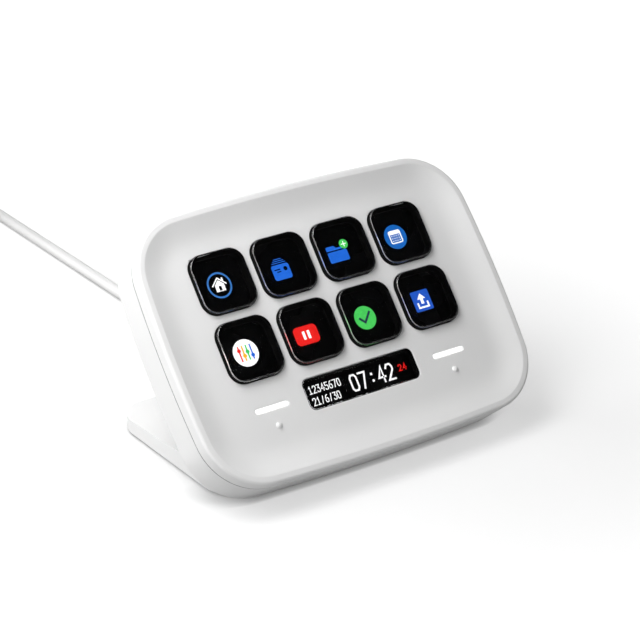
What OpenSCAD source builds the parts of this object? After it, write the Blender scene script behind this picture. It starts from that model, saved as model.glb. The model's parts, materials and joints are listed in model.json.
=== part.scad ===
// Desk keypad with eight display keys, an info window and two touch bars.
// +X runs to the right along the keys, +Y to the back, +Z up. Millimetres.
// The origin is under the middle of the object, on the desk.

/* [Housing] */
// Distance from the outer keys to the housing's sides
side_margin = 16.3; // [15.8:0.1:20]
// Distance from the upper keys to the housing's top
top_margin = 12.8; // [12.3:0.1:16]
// Distance from the lower keys to the housing's bottom
bottom_margin = 28.25; // [26.8:0.05:32]
// Room between the main board and the back wall
back_space = 1.75; // [1.6:0.05:4]
// Outer radius of the corners
corner_r = 16.6; // [15:0.1:18]
// Radius of the slight bow of the left and right sides
side_bow_r = 358; // [250:1:600]
// Radius of the slight bow of the top and bottom sides
top_bow_r = 772; // [500:1:1200]
// Angle between the face and the desk
tilt = 50; // [45:0.5:55]
// Gap between the housing's lowest edge and the desk
desk_gap = 0.2; // [0.1:0.05:1.5]
// Thickness of the side walls
wall_t = 2; // [1.8:0.05:2.3]
// Thickness of the back wall
back_t = 1.8; // [1.5:0.05:2]
// Rounding of the back's outer edge
back_edge_r = 1.8; // [1.5:0.1:4]
// Rounding inside the back's edge
back_inner_r = 1.4; // [0.8:0.1:1.8]

/* [Front cover] */
// Width of the rim, from the outer edge to the dish
rim_w = 2; // [1.9:0.05:2.6]
// Rounding of the rim's outer edge
rim_edge_r = 0.9; // [0.5:0.05:1.2]
// Thickness of the moulding under the rim
rim_t = 1.6; // [1.3:0.05:1.9]
// Depth of the dish below the rim
dish_depth = 2.4; // [1.8:0.05:3]
// Width of the sloping band of the dish
dish_w = 10.3; // [9:0.1:11]
// Width of its evenly steep part next to the rim
dish_steep_w = 1.5; // [0.8:0.1:3]
// Thickness of the flat part that the keys pass through
cover_t = 1.5; // [1.3:0.05:1.6]
// Height of the cover's side, from the rim to the seam
cover_side_h = 4.1; // [3.8:0.05:4.6]
// Width of the seam line
seam_gap = 0.15; // [0.1:0.01:0.25]
// Height of the lap joint at the seam
lap_h = 1.1; // [0.8:0.05:1.3]
// Clearance in the lap joint
lap_gap = 0.1; // [0.05:0.01:0.15]
// Diameter of the raised dots below the light bars
nub_d = 1.7; // [1.4:0.05:2]
// Height of the raised dots
nub_h = 0.8; // [0.4:0.05:0.85]
// Distance of the raised dots below the light bars
nub_drop = 5; // [4.5:0.1:6]

/* [Keys] */
// Width and height of a key cap
key_size = 16.5; // [15:0.1:19]
// Space between neighbouring key caps
key_space = 2.75; // [1.9:0.05:3.5]
// Corner radius of a key cap
key_r = 4; // [3:0.1:4.5]
// Height of a key cap above the flat face
key_proud = 1.5; // [1.2:0.05:2]
// Rounding of the key cap's top edge
key_edge_r = 0.5; // [0.3:0.05:0.8]
// Gap between a key cap and its opening
key_gap = 0.2; // [0.15:0.01:0.3]
// Travel of a key
key_travel = 0.8; // [0.6:0.05:0.9]
// Width that the hidden collar adds on each side of a key cap
collar_w = 0.7; // [0.5:0.05:0.8]
// Thickness of the hidden collar
collar_t = 0.7; // [0.6:0.05:0.9]
// Gap between the collar and the front cover at rest
collar_gap = 0.1; // [0.05:0.01:0.15]
// How far the clear block below the collar lies inside the key cap's edge
plunger_in = 0.95; // [0.8:0.05:1.2]
// Depth of the clear block below the collar
plunger_h = 0.9; // [0.7:0.05:1.1]

/* [Switch stack] */
// Gap left under a pressed key
press_gap = 0.1; // [0.05:0.01:0.2]
// Thickness of the rubber sheet
membrane_t = 0.35; // [0.25:0.05:0.5]
// Border of the rubber sheet outside the outer keys
membrane_border = 1.2; // [0.8:0.1:1.5]
// Wall of the rubber skirt round a key's window
skirt_t = 0.7; // [0.5:0.05:0.8]
// Gap between a skirt and the key's collar
skirt_gap = 0.1; // [0.05:0.01:0.15]
// Clearance between the clear block and its window
window_gap = 0.3; // [0.2:0.05:0.35]
// Thickness of the switch board
switch_t = 0.5; // [0.4:0.05:0.7]
// Gap between the layers of the stack
layer_gap = 0.05; // [0.03:0.01:0.08]

/* [Info window] */
// Width of the info window
info_w = 35.8; // [34:0.1:38]
// Height of the info window
info_h = 8.5; // [8:0.1:8.8]
// Corner radius of the info window
info_r = 1.7; // [1.2:0.1:2.5]
// Distance from the lower keys to the info window
info_drop = 3.6; // [3:0.05:4.5]
// Clearance round the info window
info_gap = 0.15; // [0.1:0.01:0.2]
// How far the info window lies below the face
info_sunk = 0.1; // [0.05:0.01:0.2]

/* [Light bars] */
// Length of a light bar
bar_l = 10; // [9:0.1:12]
// Width of a light bar
bar_w = 1.2; // [1:0.05:1.9]
// Distance from the lower keys to the middle of the light bars
bar_drop = 8; // [6:0.1:9]
// Clearance round a light bar
bar_gap = 0.08; // [0.05:0.01:0.12]
// Width that a light bar's hidden flange adds on each side
bar_flange_w = 0.8; // [0.6:0.05:0.9]
// Length of a touch pad
touch_l = 9; // [7:0.1:11]
// Width of a touch pad
touch_w = 3.8; // [3:0.1:4.2]
// Side of a light emitting diode
led_size = 1.6; // [1.2:0.1:1.8]
// Height of a light emitting diode
led_h = 0.45; // [0.35:0.05:0.5]

/* [Display] */
// How far the display module reaches past the outer keys
lcd_side = 4.5; // [3.5:0.1:4.9]
// How far the display module reaches above the upper keys
lcd_over = 3.4; // [3.1:0.1:3.9]
// How far the display module reaches below the touch pads
lcd_under = 1.5; // [1:0.1:2.5]
// Thickness of the display's glass
lcd_glass_t = 1.1; // [0.9:0.05:1.2]
// Thickness of the display's backlight tray
lcd_tray_t = 1.5; // [1.3:0.05:1.6]
// Width of the mid frame's wall round the display
frame_wall = 1.6; // [1.2:0.05:1.8]
// Clearance round the display in the mid frame
frame_gap = 0.2; // [0.15:0.01:0.25]
// Thickness of the lip behind the display
frame_lip_t = 0.6; // [0.5:0.05:0.7]
// Width of the lip behind the display
frame_lip_w = 3; // [2:0.1:4]
// Width of the display's flex
lcd_flex_w = 14; // [10:0.5:16]
// Width of the switch board's flex
switch_flex_w = 9; // [7:0.5:10]
// Thickness of a flex
flex_t = 0.2; // [0.15:0.01:0.25]

/* [Boards] */
// Width of the main board
board_w = 80; // [76:0.5:82]
// Height of the main board
board_h = 26; // [24:0.5:27]
// Distance of the main board's middle above the middle of the keys
board_above = 5; // [4.5:0.1:5.5]
// Thickness of the main board
board_t = 1; // [0.8:0.05:1.2]
// Gap between the mid frame's lip and the main board
board_drop = 0.65; // [0.6:0.05:0.7]
// Distance of the board screws from the board's edges
board_screw_in = 4; // [3.5:0.1:5]
// Side of the microcontroller
chip_size = 9; // [7:0.5:12]
// Thickness of the microcontroller
chip_t = 0.9; // [0.7:0.05:1.1]

/* [Screws] */
// Shank diameter of the screws
screw_d = 2; // [1.8:0.05:2.2]
// Head diameter of the screws
screw_head_d = 3.6; // [3.3:0.05:3.8]
// Head height of the screws
screw_head_h = 0.9; // [0.7:0.05:1]
// Clearance round a screw in its hole
screw_gap = 0.05; // [0.03:0.01:0.08]
// Wall of a screw boss
boss_wall = 1.4; // [1.2:0.05:1.6]
// Gap between the cover screws' bosses and the side walls
cover_boss_gap = 1; // [0.8:0.05:1.2]
// Distance of the upper cover screws above the housing's middle
cover_screw_up = 20; // [19:0.5:21]
// Distance of the lower cover screws below the housing's middle
cover_screw_down = 22; // [21.8:0.1:22.5]
// Depth of the screw pockets in the back
pocket_depth = 4; // [3:0.1:4.5]
// Distance of the mid frame's screws from its wall
frame_screw_out = 2.6; // [2.5:0.05:2.8]

/* [Stand] */
// Width of the stand
stand_w = 89.4; // [80:0.2:92]
// Distance from the face's middle to the stand's rear edge
stand_reach = 39.5; // [36:0.5:46]
// Thickness of the stand at its rear edge
stand_t = 3.2; // [2.8:0.1:4]
// Angle at which the stand thickens towards the front
stand_slope = 3; // [2:0.1:4]
// Radius of the stand's rear corners
stand_corner_r = 11; // [8:0.5:14]
// Length of the stand's root along the housing's back
root_l = 19; // [16:0.5:20]
// Thickness of the root's upper lip
root_t = 2.5; // [2:0.1:3]
// Radius between the root and the foot
root_fillet_r = 4; // [3:0.1:4.4]
// Rounding of the stand's rear edge
stand_edge_r = 0.8; // [0.5:0.05:1.2]
// Distance of the stand's front corners inside the housing's outline
stand_inset = 2.4; // [1:0.1:3]
// Distance of the stand screws from each other
stand_screw_pitch = 28; // [24:0.5:34]
// Length of the rubber pads
pad_l = 68; // [60:1:70]
// Width of the rubber pads
pad_w = 5; // [4:0.1:6]
// Height of the rubber pads below the stand
pad_proud = 0.8; // [0.5:0.05:1]
// Depth of the pads' pockets
pad_pocket = 0.5; // [0.4:0.05:0.8]
// Clearance round the pads
pad_gap = 0.1; // [0.05:0.01:0.2]

/* [Cable] */
// Diameter of the cable
cable_d = 3.5; // [3:0.1:4]
// Distance of the cable's exit below the middle of the keys
exit_below = 14; // [13.6:0.1:15]
// Length of the strain relief outside the back
relief_l = 12; // [10:0.5:14]
// Diameter of the strain relief at the back
relief_d = 7; // [6.5:0.1:8]
// Diameter of the strain relief at its tip
relief_tip_d = 5; // [4.5:0.1:5.5]
// Thickness of the strain relief's collar inside the back
relief_collar_t = 0.8; // [0.7:0.05:1]
// Diameter of the lead inside the housing
lead_d = 2.2; // [1.8:0.1:2.3]
// Mean radius of the coil's turns
coil_r = 21; // [20:0.25:22]
// Width of the tie round the coil
tie_w = 8; // [6:0.5:10]
// Thickness of the tie
tie_t = 0.5; // [0.4:0.05:0.7]

/* [Plug] */
// Width of the plug's grip
grip_w = 11; // [10:0.1:12]
// Height of the plug's grip
grip_h = 6; // [5.5:0.1:6.5]
// Length of the plug's grip
grip_l = 20; // [16:0.5:25]
// Width of the plug's metal shell
shell_w = 8.3; // [8.2:0.05:8.4]
// Height of the plug's metal shell
shell_h = 2.5; // [2.4:0.05:2.6]
// Length of the plug's metal shell
shell_l = 6.7; // [6:0.1:7]
// Wall of the plug's metal shell
shell_t = 0.35; // [0.3:0.05:0.4]

/* [Hidden] */

$fn = 64;
bow_fn = 1440;
cut = 1;
dish_steps = 14;
seam_lap = 0.3;
corner_step = 0.02;
arc_steps = 8;

// Levels along the face's normal, with zero at the flat face
z_rim = dish_depth;
z_seam = z_rim - cover_side_h;
z_collar_top = -cover_t - collar_gap;
z_collar = z_collar_top - collar_t;
z_plunger = z_collar - plunger_h;
z_membrane_top = z_collar - key_travel - press_gap;
z_membrane = z_membrane_top - membrane_t;
z_switch_top = z_membrane - layer_gap;
z_switch = z_switch_top - switch_t;
z_glass_top = z_switch - layer_gap;
z_glass = z_glass_top - lcd_glass_t;
z_tray = z_glass - lcd_tray_t;
z_lip_top = z_tray - layer_gap;
z_lip = z_lip_top - frame_lip_t;
z_board_top = z_lip - board_drop;
z_board = z_board_top - board_t;
z_back_in = z_board - back_space;
z_back = z_back_in - back_t;

// Edges and middles, measured up the face from the middle of the keys
key_pitch = key_size + key_space;
keys_w = 3 * key_pitch + key_size;
keys_h = key_pitch + key_size;
body_w = keys_w + 2 * side_margin;
body_h = keys_h + top_margin + bottom_margin;
body_y = (top_margin - bottom_margin) / 2;
info_y = -keys_h / 2 - info_drop - info_h / 2;
bar_x = 1.5 * key_pitch;
bar_y = -keys_h / 2 - bar_drop;
nub_y = bar_y - nub_drop;
lcd_top = keys_h / 2 + lcd_over;
lcd_bottom = nub_y - touch_w / 2 - lcd_under;
lcd_w = keys_w + 2 * lcd_side;
lcd_h = lcd_top - lcd_bottom;
lcd_y = (lcd_top + lcd_bottom) / 2;
board_y = board_above;

// Arcs of the housing's outline, from the housing's middle
side_c = [body_w / 2 - side_bow_r, 0];
top_c = [0, body_h / 2 - top_bow_r];
side_reach = side_bow_r - corner_r;
top_reach = top_bow_r - corner_r;
across = norm(top_c - side_c);
unit = (top_c - side_c) / across;
along = (side_reach ^ 2 - top_reach ^ 2 + across ^ 2) / (2 * across);
aside = sqrt(side_reach ^ 2 - along ^ 2);
corner_c = side_c + along * unit + aside * [-unit.y, unit.x];
side_a = atan2(corner_c.y - side_c.y, corner_c.x - side_c.x);
top_a = atan2(corner_c.y - top_c.y, corner_c.x - top_c.x);

// Place of the face's middle above the desk, and from front to back
face_height = desk_gap + back_edge_r
    - sin(tilt) * (body_y - body_h / 2 + back_edge_r)
    - cos(tilt) * (z_back + back_edge_r);
front_reach = cos(tilt) * (body_y - body_h / 2 + rim_edge_r)
    - sin(tilt) * (z_rim - rim_edge_r) - rim_edge_r;
face_y = -(front_reach + stand_reach) / 2;

// A point of the face's frame, as its place in Y and Z
function placed(up, out) = [face_y + cos(tilt) * up - sin(tilt) * out,
    face_height + sin(tilt) * up + cos(tilt) * out];

// Points of an arc about a centre
function arc(centre, r, from, to, steps = arc_steps) =
    [for (i = [0:steps]) let (a = from + (to - from) * i / steps)
        centre + r * [cos(a), sin(a)]];

module on_face() {
    translate([0, face_y, face_height]) rotate([tilt, 0, 0]) children();
}

module rounded_rect(w, h, r) {
    square([w - 2 * r, h], center = true);
    square([w, h - 2 * r], center = true);
    for (x = [-1, 1], y = [-1, 1])
        translate([x * (w / 2 - r), y * (h / 2 - r)]) circle(r);
}

module slab(w, h, r, low, high) {
    translate([0, 0, low]) linear_extrude(high - low) rounded_rect(w, h, r);
}

module pill(l, w, low, high) {
    translate([0, 0, low]) linear_extrude(high - low) {
        square([l - w, w], center = true);
        for (x = [-1, 1]) translate([x * (l - w) / 2, 0]) circle(w / 2);
    }
}

module block(w, h, low, high) {
    translate([-w / 2, -h / 2, low]) cube([w, h, high - low]);
}

// A rod along Z between two levels
module rod(d, low, high) {
    translate([0, 0, low]) cylinder(d = d, h = high - low);
}

// The children at the centre of key n, counted along the upper row and then the lower
module at_key(n) {
    column = (n - 1) % 4;
    row = floor((n - 1) / 4);
    translate([(column - 1.5) * key_pitch, (0.5 - row) * key_pitch, 0]) children();
}

// One arc of a sweep. The child's x runs inwards from the outline.
module sweep_arc(centre, r, from, to) {
    translate(centre) rotate_extrude(angle = to - from, start = from)
        translate([r, 0]) mirror([1, 0]) children();
}

// An arc's length as an angle
function turn(length, r) = length / r * 180 / PI;

// Sweeps a profile along the housing's outline. The sides run on into the
// corners, which lie a hair further in, so that no two surfaces coincide.
module around_body() {
    side_end = side_a + turn(seam_lap, side_bow_r);
    top_end = top_a - turn(seam_lap, top_bow_r);
    for (half = [0, 180]) rotate(half) {
        sweep_arc(side_c, side_bow_r, -side_end, side_end, $fn = bow_fn) children();
        sweep_arc(top_c, top_bow_r, top_end, 180 - top_end, $fn = bow_fn) children();
        for (flip = [0, 1]) mirror([flip, 0, 0])
            sweep_arc(corner_c, corner_r, side_a, top_a)
                translate([corner_step, 0]) children();
    }
}

// Fills the middle of a swept shell. Its edge lies in the sweep's flat stretch.
module body_floor(low, high) {
    lap = 0.65 * (corner_r - dish_end);
    block(2 * (corner_c.x + lap), 2 * (corner_c.y + lap), low, high);
}

dish_end = rim_w + dish_w;
flat_end = corner_r - 1;
under_start = rim_w + 0.4;
under_end = dish_end - 3;
skin_t = (wall_t - lap_gap) / 2;

// Level of the dish: its slope is even next to the rim and then fades to nothing
dish_fade_w = dish_w - dish_steep_w;
function dish_z(u) = let (t = min(max((dish_end - u) / dish_fade_w, 0), 1))
    dish_depth * (dish_fade_w * (t ^ 3 - t ^ 4 / 2) + max(dish_end - dish_fade_w - u, 0))
        / (dish_fade_w / 2 + dish_steep_w);

module cover_profile() {
    lap_top = z_seam + lap_h;
    dish = [for (i = [0:dish_steps]) let (u = dish_end - dish_w * i / dish_steps)
        [u, dish_z(u)]];
    edge = arc([rim_edge_r, z_rim - rim_edge_r], rim_edge_r, 90, 180);
    polygon(concat([[0, z_seam], [skin_t, z_seam], [skin_t, lap_top],
        [wall_t, lap_top], [wall_t, z_rim - rim_t], [under_start, z_rim - rim_t],
        [under_end, -cover_t], [flat_end, -cover_t], [flat_end, 0]], dish, edge));
}

module shell_profile() {
    tongue_top = z_seam + lap_h - lap_gap;
    edge = arc([back_edge_r, z_back + back_edge_r], back_edge_r, 180, 270);
    inner = arc([wall_t + back_inner_r, z_back_in + back_inner_r], back_inner_r,
        270, 180);
    polygon(concat(edge, [[flat_end, z_back], [flat_end, z_back_in]], inner,
        [[wall_t, tongue_top], [wall_t - skin_t, tongue_top],
        [wall_t - skin_t, z_seam - seam_gap], [0, z_seam - seam_gap]]));
}

module at_cover_screws() {
    x = body_w / 2 - wall_t - boss_d / 2 - cover_boss_gap;
    for (side = [-1, 1], y = [cover_screw_up, -cover_screw_down])
        translate([side * x, body_y + y, 0]) children();
}

frame_w = lcd_w + 2 * (frame_gap + frame_wall);
frame_h = lcd_h + 2 * (frame_gap + frame_wall);
frame_ear_top = z_membrane_top;
frame_ear_t = 1.2;
frame_screw_ys = [2, -24];

module at_frame_screws() {
    for (side = [-1, 1], y = frame_screw_ys)
        translate([side * (frame_w / 2 + frame_screw_out), y, 0]) children();
}

module at_board_screws() {
    for (x = [-1, 1], y = [-1, 1])
        translate([x * (board_w / 2 - board_screw_in),
            board_y + y * (board_h / 2 - board_screw_in), 0]) children();
}

module at_stand_screws() {
    for (i = [-1:1])
        translate([i * stand_screw_pitch, stand_screw_y, 0]) children();
}

// Bosses, holes and screw lengths. Screws from behind end inside the cover's flat part.
boss_d = screw_d + 2 * boss_wall;
frame_boss_d = boss_d - 0.6;
boss_low = -4.5;
boss_top = -0.2;
pilot_d = screw_d + 2 * screw_gap;
pass_d = screw_d + 0.4;
pocket_d = screw_head_d + 0.4;
neck_d = relief_d - 1;
cover_screw_seat = z_back + pocket_depth;
screw_end = -1;
screw_hole_end = -0.5;
stand_screw_y = body_y - body_h / 2 + 12;
stand_screw_l = 6;

module front_cover() {
    color("white") on_face() difference() {
        union() {
            translate([0, body_y, 0]) {
                around_body() cover_profile();
                body_floor(-cover_t, 0);
            }
            at_cover_screws() rod(boss_d, boss_low, boss_top);
            at_frame_screws() rod(frame_boss_d, frame_ear_top, boss_top);
            for (side = [-1, 1]) translate([side * bar_x, nub_y, 0])
                nub();
        }
        for (n = [1:8]) at_key(n) slab(key_size + 2 * key_gap,
            key_size + 2 * key_gap, key_r + key_gap, -cover_t - cut, cut);
        translate([0, info_y, 0]) slab(info_w + 2 * info_gap,
            info_h + 2 * info_gap, info_r + info_gap, -cover_t - cut, cut);
        for (side = [-1, 1]) translate([side * bar_x, bar_y, 0])
            pill(bar_l + 2 * bar_gap, bar_w + 2 * bar_gap, -cover_t - cut, cut);
        at_cover_screws() rod(pilot_d, boss_low - cut, screw_hole_end);
        at_frame_screws() rod(pilot_d, frame_ear_top - cut, screw_hole_end);
    }
}

// A low round dot, a slice of a ball
module nub() {
    ball_r = ((nub_d / 2) ^ 2 + nub_h ^ 2) / (2 * nub_h);
    intersection() {
        translate([0, 0, nub_h - ball_r]) sphere(ball_r);
        rod(nub_d * 1.5, -cover_t / 2, nub_h + cut);
    }
}

module rear_shell() {
    color("white") on_face() difference() {
        union() {
            translate([0, body_y, 0]) {
                around_body() shell_profile();
                body_floor(z_back, z_back_in);
            }
            at_cover_screws() rod(boss_d, z_back_in - back_t / 2,
                boss_low - lap_gap);
            at_board_screws() rod(boss_d, z_back_in - back_t / 2, z_board);
        }
        at_cover_screws() {
            rod(pass_d, z_back - cut, 0);
            rod(pocket_d, z_back - cut, cover_screw_seat);
        }
        at_board_screws() rod(pilot_d, z_back_in, z_board + cut);
        at_stand_screws() rod(pass_d, z_back - cut, z_back_in + cut);
        translate([0, -exit_below, 0])
            rod(neck_d + 2 * screw_gap, z_back - cut, z_back_in + cut);
    }
}

// A plate with a rounded top edge, square with round corners
module soft_plate(size, r, low, high, edge_r) {
    for (q = [0:3]) rotate(90 * q) {
        translate([size / 2 - r, size / 2 - r, 0]) rotate_extrude(angle = 90)
            translate([r, 0]) mirror([1, 0]) soft_edge(r, low, high, edge_r);
        translate([size / 2, size / 2 - r, 0]) rotate([90, 0, 0])
            linear_extrude(size - 2 * r) mirror([1, 0])
                soft_edge(r, low, high, edge_r);
    }
    block(size - 2 * r, size - 2 * r, low, high);
}

// The section of such an edge, from the outside inwards
module soft_edge(depth, low, high, edge_r) {
    translate([0, low]) square([depth, high - low - edge_r]);
    translate([edge_r, low]) square([depth - edge_r, high - low]);
    translate([edge_r, high - edge_r]) circle(edge_r, $fn = 32);
}

plunger_size = key_size - 2 * plunger_in;
plunger_r = key_r - 0.8;

module key_cap(n) {
    color([0.75, 0.78, 0.82, 0.5]) on_face() at_key(n) {
        collar = key_size + 2 * collar_w;
        soft_plate(key_size, key_r, z_collar_top, key_proud, key_edge_r);
        slab(collar, collar, key_r + collar_w, z_collar, z_collar_top);
        slab(plunger_size, plunger_size, plunger_r, z_plunger, z_collar);
    }
}

window_size = plunger_size + 2 * window_gap;
window_r = plunger_r + window_gap;

module key_membrane() {
    edge = 2 * (collar_w + membrane_border);
    skirt = window_size + 2 * skirt_t;
    color("dimgray") on_face() difference() {
        union() {
            slab(keys_w + edge, keys_h + edge, 2,
                z_membrane, z_membrane_top);
            for (n = [1:8]) at_key(n) slab(skirt, skirt, window_r + skirt_t,
                z_membrane, z_collar - skirt_gap);
        }
        for (n = [1:8]) at_key(n) slab(window_size, window_size, window_r,
            z_membrane - cut, z_collar);
    }
}

module switch_board() {
    color("darkgreen") on_face() difference() {
        translate([0, lcd_y, 0]) slab(lcd_w, lcd_h, 1, z_switch, z_switch_top);
        for (n = [1:8]) at_key(n) slab(window_size, window_size, window_r,
            z_switch - cut, z_switch_top + cut);
        translate([0, info_y, 0])
            slab(info_w, info_h, info_r, z_switch - cut, z_switch_top + cut);
    }
}

module bar_leds() {
    color("lightyellow") on_face() for (side = [-1, 1], end = [-1, 1])
        translate([side * bar_x + end * bar_l / 4, bar_y, 0])
            block(led_size, led_size, z_switch_top, z_switch_top + led_h);
}

module light_bar(side) {
    flange_top = -cover_t - layer_gap;
    color("white") on_face() translate([side * bar_x, bar_y, 0]) {
        pill(bar_l, bar_w, z_switch_top + led_h + layer_gap, layer_gap);
        pill(bar_l + 2 * bar_flange_w, bar_w + 2 * bar_flange_w,
            flange_top - collar_t, flange_top);
    }
}

module touch_pad(side) {
    color("darkgray") on_face() translate([side * bar_x, nub_y, 0])
        block(touch_l, touch_w, z_switch_top, -cover_t - layer_gap);
}

module info_window() {
    flange_w = 1;
    flange_top = -cover_t - layer_gap;
    color([0.05, 0.05, 0.06, 0.8]) on_face() translate([0, info_y, 0]) {
        slab(info_w, info_h, info_r, z_plunger, -info_sunk);
        slab(info_w + 2 * flange_w, info_h + 2 * flange_w, info_r + flange_w,
            flange_top - collar_t, flange_top);
    }
}

module lcd_glass() {
    color("black") on_face() translate([0, lcd_y, 0])
        slab(lcd_w, lcd_h, 1, z_glass, z_glass_top);
}

module lcd_backlight() {
    color("silver") on_face() translate([0, lcd_y, 0])
        slab(lcd_w, lcd_h, 1, z_tray, z_glass);
}

// Middle of the flexes' bend, and the outer face of their sockets
flex_turn_y = lcd_y + frame_h / 2 + 0.6;
socket_y = board_y + board_h / 2 - 1;
socket_depth = 4;
socket_h = 1.1;
switch_flex_x = 26;
lcd_flex_top = z_tray + 0.7;
switch_flex_top = z_switch + 0.3;

// A flex that leaves an edge, bends round and comes back behind the board
module flex_loop(width, top) {
    low = z_board - layer_gap - flex_t;
    r = (top - low) / 2;
    start = lcd_y + lcd_h / 2;
    rotate([90, 0, 90]) translate([0, 0, -width / 2]) linear_extrude(width) {
        translate([start, top - flex_t]) square([flex_turn_y - start, flex_t]);
        translate([socket_y, low]) square([flex_turn_y - socket_y, flex_t]);
        translate([flex_turn_y, low + r]) intersection() {
            difference() {
                circle(r);
                circle(r - flex_t);
            }
            translate([0, -r]) square([r, 2 * r]);
        }
    }
}

module lcd_flex() {
    color("darkorange") on_face() flex_loop(lcd_flex_w, lcd_flex_top);
}

module switch_flex() {
    color("orange") on_face() translate([switch_flex_x, 0, 0])
        flex_loop(switch_flex_w, switch_flex_top);
}

module flex_sockets() {
    color("ivory") on_face() {
        y = socket_y - socket_depth / 2;
        translate([0, y, 0])
            block(lcd_flex_w + 3, socket_depth, z_board - socket_h, z_board);
        translate([switch_flex_x, y, 0])
            block(switch_flex_w + 3, socket_depth, z_board - socket_h, z_board);
    }
}

module mid_frame() {
    pocket_w = lcd_w + 2 * frame_gap;
    pocket_h = lcd_h + 2 * frame_gap;
    ear_low = frame_ear_top - frame_ear_t;
    ear_d = boss_d;
    slot_y = lcd_y + frame_h / 2;
    color("dimgray") on_face() difference() {
        union() {
            translate([0, lcd_y, 0])
                slab(frame_w, frame_h, 2, z_lip, frame_ear_top);
            at_frame_screws() rod(ear_d, ear_low, frame_ear_top);
            for (y = frame_screw_ys) translate([0, y, 0])
                block(frame_w + 2 * frame_screw_out, ear_d, ear_low, frame_ear_top);
        }
        translate([0, lcd_y, 0]) {
            slab(pocket_w, pocket_h, 1, z_lip_top, frame_ear_top + cut);
            slab(lcd_w - 2 * frame_lip_w, lcd_h - 2 * frame_lip_w, 2,
                z_lip - cut, z_lip_top + cut);
        }
        at_frame_screws() rod(pass_d, ear_low - cut, frame_ear_top + cut);
        translate([0, slot_y, 0]) block(lcd_flex_w + 1, 2 * frame_wall + cut,
            lcd_flex_top - 2 * flex_t, frame_ear_top + cut);
        translate([switch_flex_x, slot_y, 0]) block(switch_flex_w + 1,
            2 * frame_wall + cut, switch_flex_top - 2 * flex_t, frame_ear_top + cut);
    }
}

// A screw along Z whose head rests on its seat from below and whose shank goes up
module screw(seat, end) {
    difference() {
        union() {
            rod(screw_head_d, seat - screw_head_h, seat);
            rod(screw_d, seat - screw_head_h / 2, end);
        }
        translate([0, 0, seat - screw_head_h - cut])
            cylinder(d = screw_d * 0.8, h = cut + screw_head_h / 2, $fn = 6);
    }
}

module frame_screws() {
    color("silver") on_face() at_frame_screws()
        screw(frame_ear_top - frame_ear_t, screw_end);
}

module cover_screws() {
    color("silver") on_face() at_cover_screws() screw(cover_screw_seat, screw_end);
}

module board_screws() {
    color("silver") on_face() at_board_screws() mirror([0, 0, 1])
        screw(-z_board_top, -z_back_in - 0.3);
}

module stand_screws() {
    color("silver") on_face() at_stand_screws() mirror([0, 0, 1])
        screw(-z_back_in, -z_back + stand_screw_l);
}

lead_z = (z_tray + z_board) / 2 - 0.2;
lead_socket_w = 8;
lead_socket_l = 4.6;
lead_socket_y = board_y - board_h / 2 - 0.2;

module cable_socket_space(gap) {
    translate([0, lead_socket_y + lead_socket_l / 2, 0])
        block(lead_socket_w + 2 * gap, lead_socket_l + 2 * gap,
            lead_z - lead_d / 2 - 0.1 - gap, lead_z + lead_d / 2 + 0.05 + gap);
}

module main_board() {
    color("green") on_face() difference() {
        translate([0, board_y, 0])
            slab(board_w, board_h, 1, z_board, z_board_top);
        at_board_screws() rod(pass_d, z_board - cut, z_board_top + cut);
        cable_socket_space(0.1);
    }
}

module microcontroller() {
    color("black") on_face() translate([-20, board_y, 0])
        block(chip_size, chip_size, z_board - chip_t, z_board);
}

// Memory, crystal and coil as X, Y, width, length and height, and two rows of small parts
board_chips = [[-6, -1, 5, 4, 0.8], [-29, 6, 3.2, 2.5, 0.7], [9, -4, 4, 4, 1.2]];
small_row_y = -8;
small_h = 0.6;

module board_parts() {
    color("gray") on_face() translate([0, board_y, z_board]) {
        for (c = board_chips) translate([c[0], c[1], 0]) block(c[2], c[3], -c[4], 0);
        for (i = [0:4]) translate([14 + 3 * i, small_row_y, 0]) block(1, 2, -small_h, 0);
        for (i = [0:3]) translate([-28 + 2.6 * i, small_row_y, 0])
            block(1.6, 0.8, -small_h, 0);
    }
}

module cable_socket() {
    color("ivory") on_face() cable_socket_space(0);
}

module inner_lead() {
    r = lead_d / 2;
    low = z_back_in + relief_collar_t;
    bend = lead_z - low;
    run = lead_socket_y + exit_below - bend;
    color("lightgray") on_face() translate([0, bend - exit_below, 0]) {
        translate([0, 0, low]) rotate([90, 0, 90]) rotate(90)
            rotate_extrude(angle = 90) translate([bend, 0]) circle(r);
        translate([0, 0, lead_z]) rotate([-90, 0, 0]) cylinder(r = r, h = run);
    }
}

relief_flange_t = 0.8;
relief_rings = 4;
ring_start = 1.2;
ring_pitch = (relief_l - 3) / relief_rings;
ring_w = ring_pitch / 3;

module strain_relief() {
    tip = z_back - relief_l;
    color("white") on_face() translate([0, -exit_below, 0]) {
        difference() {
            translate([0, 0, tip]) cylinder(d1 = relief_tip_d, d2 = relief_d,
                h = relief_l);
            for (i = [0:relief_rings - 1])
                translate([0, 0, tip + ring_start + i * ring_pitch]) difference() {
                    rod(relief_d + 1, 0, ring_w);
                    rod(cable_d + 0.8, -cut, ring_w + cut);
                }
        }
        rod(relief_d + 2, z_back - relief_flange_t, z_back);
        rod(neck_d, z_back - relief_flange_t / 2, z_back_in + relief_collar_t / 2);
        rod(relief_d + 1, z_back_in, z_back_in + relief_collar_t);
    }
}

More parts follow.
